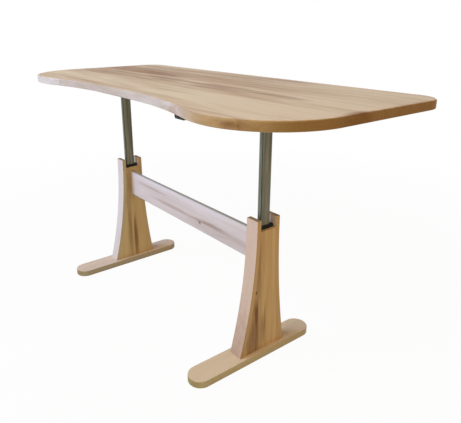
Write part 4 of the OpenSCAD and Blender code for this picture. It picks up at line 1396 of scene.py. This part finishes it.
@dataclass
class ColumnInside(Assembly):
    """What guides and drives one lift tube inside its column."""

    side: Side
    collar_ease: Ease = Ease(0.0009)
    shoe_ease: Ease = Ease(0.0006)
    pitch: float = 0.010
    crest: float = 0.005
    thread_depth: float = 0.00045
    thread_length: float = 0.500
    thread_gap: float = 0.001
    tolerance: float = 0.0001

    def build(self) -> None:
        """Builds the collar, guide tube, shoe, post, nut, bearing, gear and spindle."""
        word, finishes = self.side.word, self.shop.finishes
        show_eased(f"collar_{word}", f"guide_collar_{word}", BASE, finishes.moulded, self.collar_ease)
        show_eased(f"shoe_{word}", f"glide_shoe_{word}", TOP, finishes.nylon, self.shoe_ease)
        dress({f"guide_tube_{word}": finishes.hidden_tube, f"nut_post_{word}": finishes.plated,
               f"spindle_nut_{word}": finishes.bronze, f"spindle_bearing_{word}": finishes.ground,
               f"spindle_gear_{word}": finishes.ground})
        low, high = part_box(f"spindle_{word}")
        centre = (low + high) / 2
        self.core(low.z, centre)
        self.thread(low.z, centre)

    def core(self, foot: float, centre: Vector) -> None:
        """Builds the spindle, thinner than the plain rod as far as its thread goes.

        Args:
            foot: Height of its lower end.
            centre: Its centre.
        """
        node = f"spindle_{self.side.word}"
        mesh = merged_copy(node)
        thread_end = foot + self.thread_length
        for z in (thread_end, thread_end + self.thread_depth):
            bmesh.ops.bisect_plane(mesh, geom=mesh.verts[:] + mesh.edges[:] + mesh.faces[:],
                                   plane_co=(0.0, 0.0, z), plane_no=ALONG_Z)
        root = self.crest - self.thread_depth
        for vert in mesh.verts:
            off = Vector((vert.co.x - centre.x, vert.co.y - centre.y))
            if vert.co.z < thread_end + self.tolerance and off.length > root:
                off *= root / off.length
                vert.co.x, vert.co.y = centre.x + off.x, centre.y + off.y
        body = f"{self.side.word}_spindle"
        show(f"core_{node}", as_mesh(mesh, node), body, self.shop.finishes.ground, node)

    def thread(self, foot: float, centre: Vector) -> None:
        """Builds the spindle's thread, left-handed on the right leg.

        Args:
            foot: Height of the spindle's lower end.
            centre: Its centre.
        """
        word, finish = self.side.word, self.shop.finishes.ground
        length = self.thread_length - 2 * self.thread_gap
        start = (centre.x, centre.y, foot + self.thread_gap)
        sizes = {"Crest Radius": self.crest, "Depth": self.thread_depth, "Turns": length / self.pitch,
                 "Length": length}
        ridge = self.shop.patterns.thread.grow([start], finish, sizes)
        if self.side is Side.RIGHT:
            for vert in ridge.vertices:
                vert.co.x = 2 * centre.x - vert.co.x
            ridge.flip_normals()
        show(f"thread_{word}", ridge, f"{word}_spindle", finish)


@dataclass
class Underframe(Assembly):
    """Crossbeam, arms, gear heads, shaft and motor under the top."""

    ease: Ease = Ease(0.0008)
    head_ease: Ease = Ease(0.0009)
    gearbox_ease: Ease = Ease(0.0016, 3)
    motor_ease: Ease = Ease(0.0012)
    motor_radius: float = 0.025
    ribs: int = 8
    rib_step: float = 0.009
    rib_start: float = 0.016
    rib_radius: float = 0.0266
    rib_thickness: float = 0.0022

    def build(self) -> None:
        """Builds the frame's pieces, with eased edges where they show."""
        finishes = self.shop.finishes
        powder, cast, ground = finishes.powder, finishes.cast, finishes.ground
        show_eased("beam_channel", "crossbeam", TOP, powder, self.ease)
        for side in Side:
            word = side.word
            show_eased(f"arm_channel_{word}", f"arm_{word}", TOP, powder, self.ease)
            show_eased(f"cast_head_{word}", f"gear_head_{word}", TOP, cast, self.head_ease)
            dress({f"shaft_gear_{word}": ground})
        dress({"gear_head_lids": cast, "shaft_bushes": finishes.bronze, "drive_shaft": finishes.plated,
               "drive_hub": ground})
        show_eased("gearbox_body", "motor_gearbox", TOP, cast, self.gearbox_ease)
        show_eased("motor_shell", "motor", TOP, powder, self.motor_ease)
        low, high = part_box("motor")
        start_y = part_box("motor_gearbox")[1].y + self.rib_start
        spots = [((low.x + high.x) / 2, start_y + k * self.rib_step, high.z - self.motor_radius)
                 for k in range(self.ribs)]
        sizes = {"Outer Radius": self.rib_radius, "Thickness": self.rib_thickness}
        ribs = self.shop.patterns.ribs.grow(spots, powder, sizes, aims=[ALONG_Y] * self.ribs)
        show("motor_ribs", ribs, TOP, powder)


@dataclass(frozen=True)
class ScrewSize:
    """Sizes of one kind of screw."""

    head_radius: float
    head_height: float
    shank_radius: float
    socket_radius: float
    rim: float = 0.0005


@dataclass(frozen=True)
class ScrewPlace:
    """Where one screw sits: the seat of its head, the way its shank points and the shank's length."""

    seat: Point
    way: Point
    length: float


@dataclass
class Fasteners(Assembly):
    """Every screw and bolt, each found from its CAD solid and given a socket head."""

    wood_screw: ScrewSize = ScrewSize(0.005, 0.003, 0.0025, 0.0022)
    frame_bolt: ScrewSize = ScrewSize(0.0054, 0.004, 0.003, 0.0026, 0.0006)
    motor_screw: ScrewSize = ScrewSize(0.004, 0.003, 0.0025, 0.0018)
    head_share: float = 0.42
    length_digits: int = 4

    def solids(self, node: str) -> list[list[Vector]]:
        """Finds the corners of each separate solid of a node.

        Args:
            node: The CAD node.

        Returns:
            One list of corners for each solid.
        """
        mesh = merged_copy(node)
        left, found = set(mesh.verts), []
        for first in mesh.verts:
            if first not in left:
                continue
            left.discard(first)
            stack, corners = [first], []
            while stack:
                vert = stack.pop()
                corners.append(vert.co.copy())
                near = [edge.other_vert(vert) for edge in vert.link_edges if edge.other_vert(vert) in left]
                left.difference_update(near)
                stack += near
            found.append(corners)
        mesh.free()
        return found

    def place(self, corners: list[Vector]) -> ScrewPlace:
        """Reads a screw's place from its solid, a wide head on a longer thin shank.

        Args:
            corners: All corners of the solid.

        Returns:
            The screw's place.
        """
        low = Vector(min(corner[i] for corner in corners) for i in range(3))
        high = Vector(max(corner[i] for corner in corners) for i in range(3))
        size, seat = high - low, (low + high) / 2
        axis = max(range(3), key=lambda i: size[i])
        sides = [i for i in range(3) if i != axis]
        rim = self.head_share * max(size[i] for i in sides)
        head = [corner[axis] for corner in corners if math.hypot(*(corner[i] - seat[i] for i in sides)) > rim]
        below, above = min(head) - low[axis], high[axis] - max(head)
        way = [0.0, 0.0, 0.0]
        way[axis] = 1.0 if below < above else -1.0
        seat[axis] = max(head) if below < above else min(head)
        return ScrewPlace(tuple(seat), tuple(way), max(below, above))

    def group(self, node: str, body: str, upright: ScrewSize, lying: ScrewSize) -> None:
        """Builds one node's fasteners as one piece.

        Args:
            node: The CAD node that they stand for.
            body: The body that they move with.
            upright: Size of the screws that stand.
            lying: Size of the screws that lie.
        """
        whole, finish = bmesh.new(), self.shop.finishes.plated
        runs: dict[tuple[ScrewSize, float], list[ScrewPlace]] = {}
        for corners in self.solids(node):
            place = self.place(corners)
            size = upright if place.way[Axis.Z.value] else lying
            runs.setdefault((size, round(place.length, self.length_digits)), []).append(place)
        for (size, length), places in runs.items():
            sizes = {"Head Radius": size.head_radius, "Head Height": size.head_height,
                     "Shank Radius": size.shank_radius, "Shank Length": length,
                     "Socket Radius": size.socket_radius, "Rim": size.rim}
            made = self.shop.patterns.screws.grow([place.seat for place in places], finish, sizes,
                                                  aims=[place.way for place in places])
            whole.from_mesh(made)
            bpy.data.meshes.remove(made)
        show(f"socket_{node}", as_mesh(whole, node), body, finish, node)

    def build(self) -> None:
        """Builds all fasteners, one piece for each CAD node."""
        self.group("desktop_screws", TOP, self.wood_screw, self.wood_screw)
        self.group("foot_screws", BASE, self.wood_screw, self.wood_screw)
        self.group("motor_screws", TOP, self.motor_screw, self.motor_screw)
        self.group("arm_bolts", TOP, self.frame_bolt, self.frame_bolt)
        self.group("gear_head_screws", TOP, self.wood_screw, self.frame_bolt)


@dataclass
class ControlBox(Assembly):
    """Control box with its cover, board and mains inlet."""

    box_ease: Ease = Ease(0.0012, 3)
    cover_ease: Ease = Ease(0.0007)
    inlet_ease: Ease = Ease(0.0004)
    vents: int = 11
    vent_start: float = 0.045
    vent_step: float = 0.007
    vent_length: float = 0.052
    vent_width: float = 0.0024
    vent_out: float = 0.0002

    def build(self) -> None:
        """Builds the box with eased edges and vent bars on its cover."""
        finishes = self.shop.finishes
        show_eased("box_shell", "control_box", TOP, finishes.moulded, self.box_ease)
        show_eased("box_cover", "control_box_cover", TOP, finishes.moulded, self.cover_ease)
        dress({"control_board": finishes.circuit})
        show_eased("inlet_socket", "mains_inlet", TOP, finishes.nylon, self.inlet_ease)
        low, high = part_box("control_box_cover")
        spots = [(low.x + self.vent_start + k * self.vent_step, (low.y + high.y) / 2, low.z - self.vent_out)
                 for k in range(self.vents)]
        sizes = {"Length": self.vent_length, "Width": self.vent_width}
        bars = self.shop.patterns.vents.grow(spots, finishes.moulded, sizes)
        show("cover_vent_bars", bars, TOP, finishes.moulded)


@dataclass
class HandSwitch(Assembly):
    """Hand switch under the front edge with its two keys."""

    shell_ease: Ease = Ease(0.0011, 3)
    key_ease: Ease = Ease(0.00015, 1, 60.0)

    def build(self) -> None:
        """Builds the housing and the keys with eased edges."""
        finishes = self.shop.finishes
        show_eased("switch_shell", "switch_housing", TOP, finishes.moulded, self.shell_ease)
        dress({"switch_plate": finishes.powder})
        for way in ("up", "down"):
            show_eased(f"{way}_key_cap", f"{way}_button", f"{way}_key", finishes.key, self.key_ease)


@dataclass(frozen=True)
class Lamp:
    """A soft square lamp that looks at a point, its power in watts."""

    name: str
    place: Point
    aim: Point
    size: float
    power: float
    tint: Colour

    def build(self) -> None:
        """Adds the lamp."""
        light = bpy.data.lights.new(self.name, "AREA")
        light.size, light.energy, light.color = self.size, self.power, self.tint
        piece = link(bpy.data.objects.new(self.name, light))
        piece.location = self.place
        piece.rotation_euler = (Vector(self.aim) - Vector(self.place)).to_track_quat("-Z", "Y").to_euler()


@dataclass
class Studio:
    """Pale floor, soft lamps and the camera of the photograph, its angles in degrees and lens in mm."""

    place: Point = (1.8642, -1.2661, 1.3599)
    yaw: float = 36.9133
    pitch: float = 18.9315
    roll: float = 0.3588
    lens: float = 37.699
    sensor: float = 36.0
    shift: Range = (0.0431, -0.0482)
    sight: float = 100.0
    floor_half: float = 30.0
    floor_colour: Colour = grey(0.86)
    glow_range: Range = (1.2, 4.0)
    glow: Range = (0.955, 1.0)
    sky: Colour = (1.0, 0.87, 0.64)
    sky_strength: float = 0.27
    lamps: tuple[Lamp, ...] = (
        Lamp("key", (-2.4, -4.4, 3.7), (0.0, 0.0, 0.6), 2.6, 225.0, (0.58, 0.76, 1.0)),
        Lamp("front", (0.4, -3.4, 3.4), (0.0, 0.0, 0.2), 2.4, 58.0, (1.0, 0.94, 0.66)),
        Lamp("side", (4.6, 0.6, 1.9), (0.3, 0.0, 0.7), 2.2, 42.0, (1.0, 0.62, 0.34)))

    def build(self) -> None:
        """Builds the floor, world, lamps and camera."""
        self.floor()
        self.world()
        for lamp in self.lamps:
            lamp.build()
        self.camera()
        bpy.context.scene.view_settings.view_transform = "Standard"

    def pale_rays(self, graph: Graph) -> Socket:
        """Mask of the rays that see the background as white.

        Args:
            graph: The tree that it goes into.

        Returns:
            The mask.
        """
        rays = graph.add("ShaderNodeLightPath").outputs
        seen = graph.math("MAXIMUM", rays["Is Camera Ray"], rays["Is Glossy Ray"])
        return graph.math("MAXIMUM", seen, rays["Is Transmission Ray"])

    def floor(self) -> None:
        """Builds the floor that keeps the desk's shadow and looks pale."""
        mesh = bmesh.new()
        bmesh.ops.create_grid(mesh, x_segments=1, y_segments=1, size=self.floor_half)
        plane = link(bpy.data.objects.new("floor", as_mesh(mesh, "floor")))
        material = bpy.data.materials.new("pale_floor")
        material.use_nodes = True
        material.node_tree.nodes.clear()
        graph = Graph(material.node_tree)
        matt = graph.get("ShaderNodeBsdfDiffuse", {"Color": self.floor_colour})
        glow = graph.get("ShaderNodeEmission", {"Color": WHITE, "Strength": 1.0})
        away = graph.length(graph.get("ShaderNodeTexCoord", output="Object"))
        share = graph.times(self.pale_rays(graph), graph.span(away, self.glow_range, self.glow))
        both = graph.get("ShaderNodeMixShader", {0: share, 1: matt, 2: glow})
        graph.add("ShaderNodeOutputMaterial", {"Surface": both})
        plane.data.materials.append(material)

    def world(self) -> None:
        """Makes the surroundings white to the eye and soft as a light."""
        world = bpy.data.worlds.new("studio")
        world.use_nodes = True
        bpy.context.scene.world = world
        graph = Graph(world.node_tree)
        back = world.node_tree.nodes["Background"].inputs
        pale = self.pale_rays(graph)
        graph.put(back["Color"], graph.mix(pale, self.sky, WHITE))
        graph.put(back["Strength"], graph.plus(graph.times(pale, 1.0 - self.sky_strength), self.sky_strength))

    def camera(self) -> None:
        """Puts the camera where the photograph was taken."""
        yaw, pitch, roll = (math.radians(turn) for turn in (self.yaw, self.pitch, self.roll))
        ahead = Vector((-math.cos(yaw), math.sin(yaw), 0.0))
        forward = ahead * math.cos(pitch) - Vector(ALONG_Z) * math.sin(pitch)
        level = forward.cross(Vector(ALONG_Z)).normalized()
        plumb = forward.cross(level)
        right = level * math.cos(roll) + plumb * math.sin(roll)
        down = plumb * math.cos(roll) - level * math.sin(roll)
        data = bpy.data.cameras.new("photo_camera")
        data.lens, data.sensor_width = self.lens, self.sensor
        data.shift_x, data.shift_y = self.shift
        data.clip_end = self.sight
        piece = link(bpy.data.objects.new("photo_camera", data))
        turn = Matrix((right, -down, -forward)).transposed().to_4x4()
        piece.matrix_world = Matrix.Translation(Vector(self.place)) @ turn
        bpy.context.scene.camera = piece


def main() -> None:
    """Builds the studio and each sub-assembly in order."""
    logging.basicConfig(level=logging.INFO, format="%(name)s: %(message)s")
    Studio().build()
    shop = Workshop()
    parts = [WorkTop(shop), Column(shop, Side.LEFT, LEFT_WOOD), Column(shop, Side.RIGHT, RIGHT_WOOD),
             Rail(shop), Glides(shop)]
    for side in Side:
        parts += [LiftTube(shop, side), ColumnInside(shop, side)]
    parts += [Underframe(shop), Fasteners(shop), ControlBox(shop), HandSwitch(shop)]
    for part in parts:
        LOG.info("building %s", type(part).__name__)
        part.build()


if __name__ == "__main__":
    main()
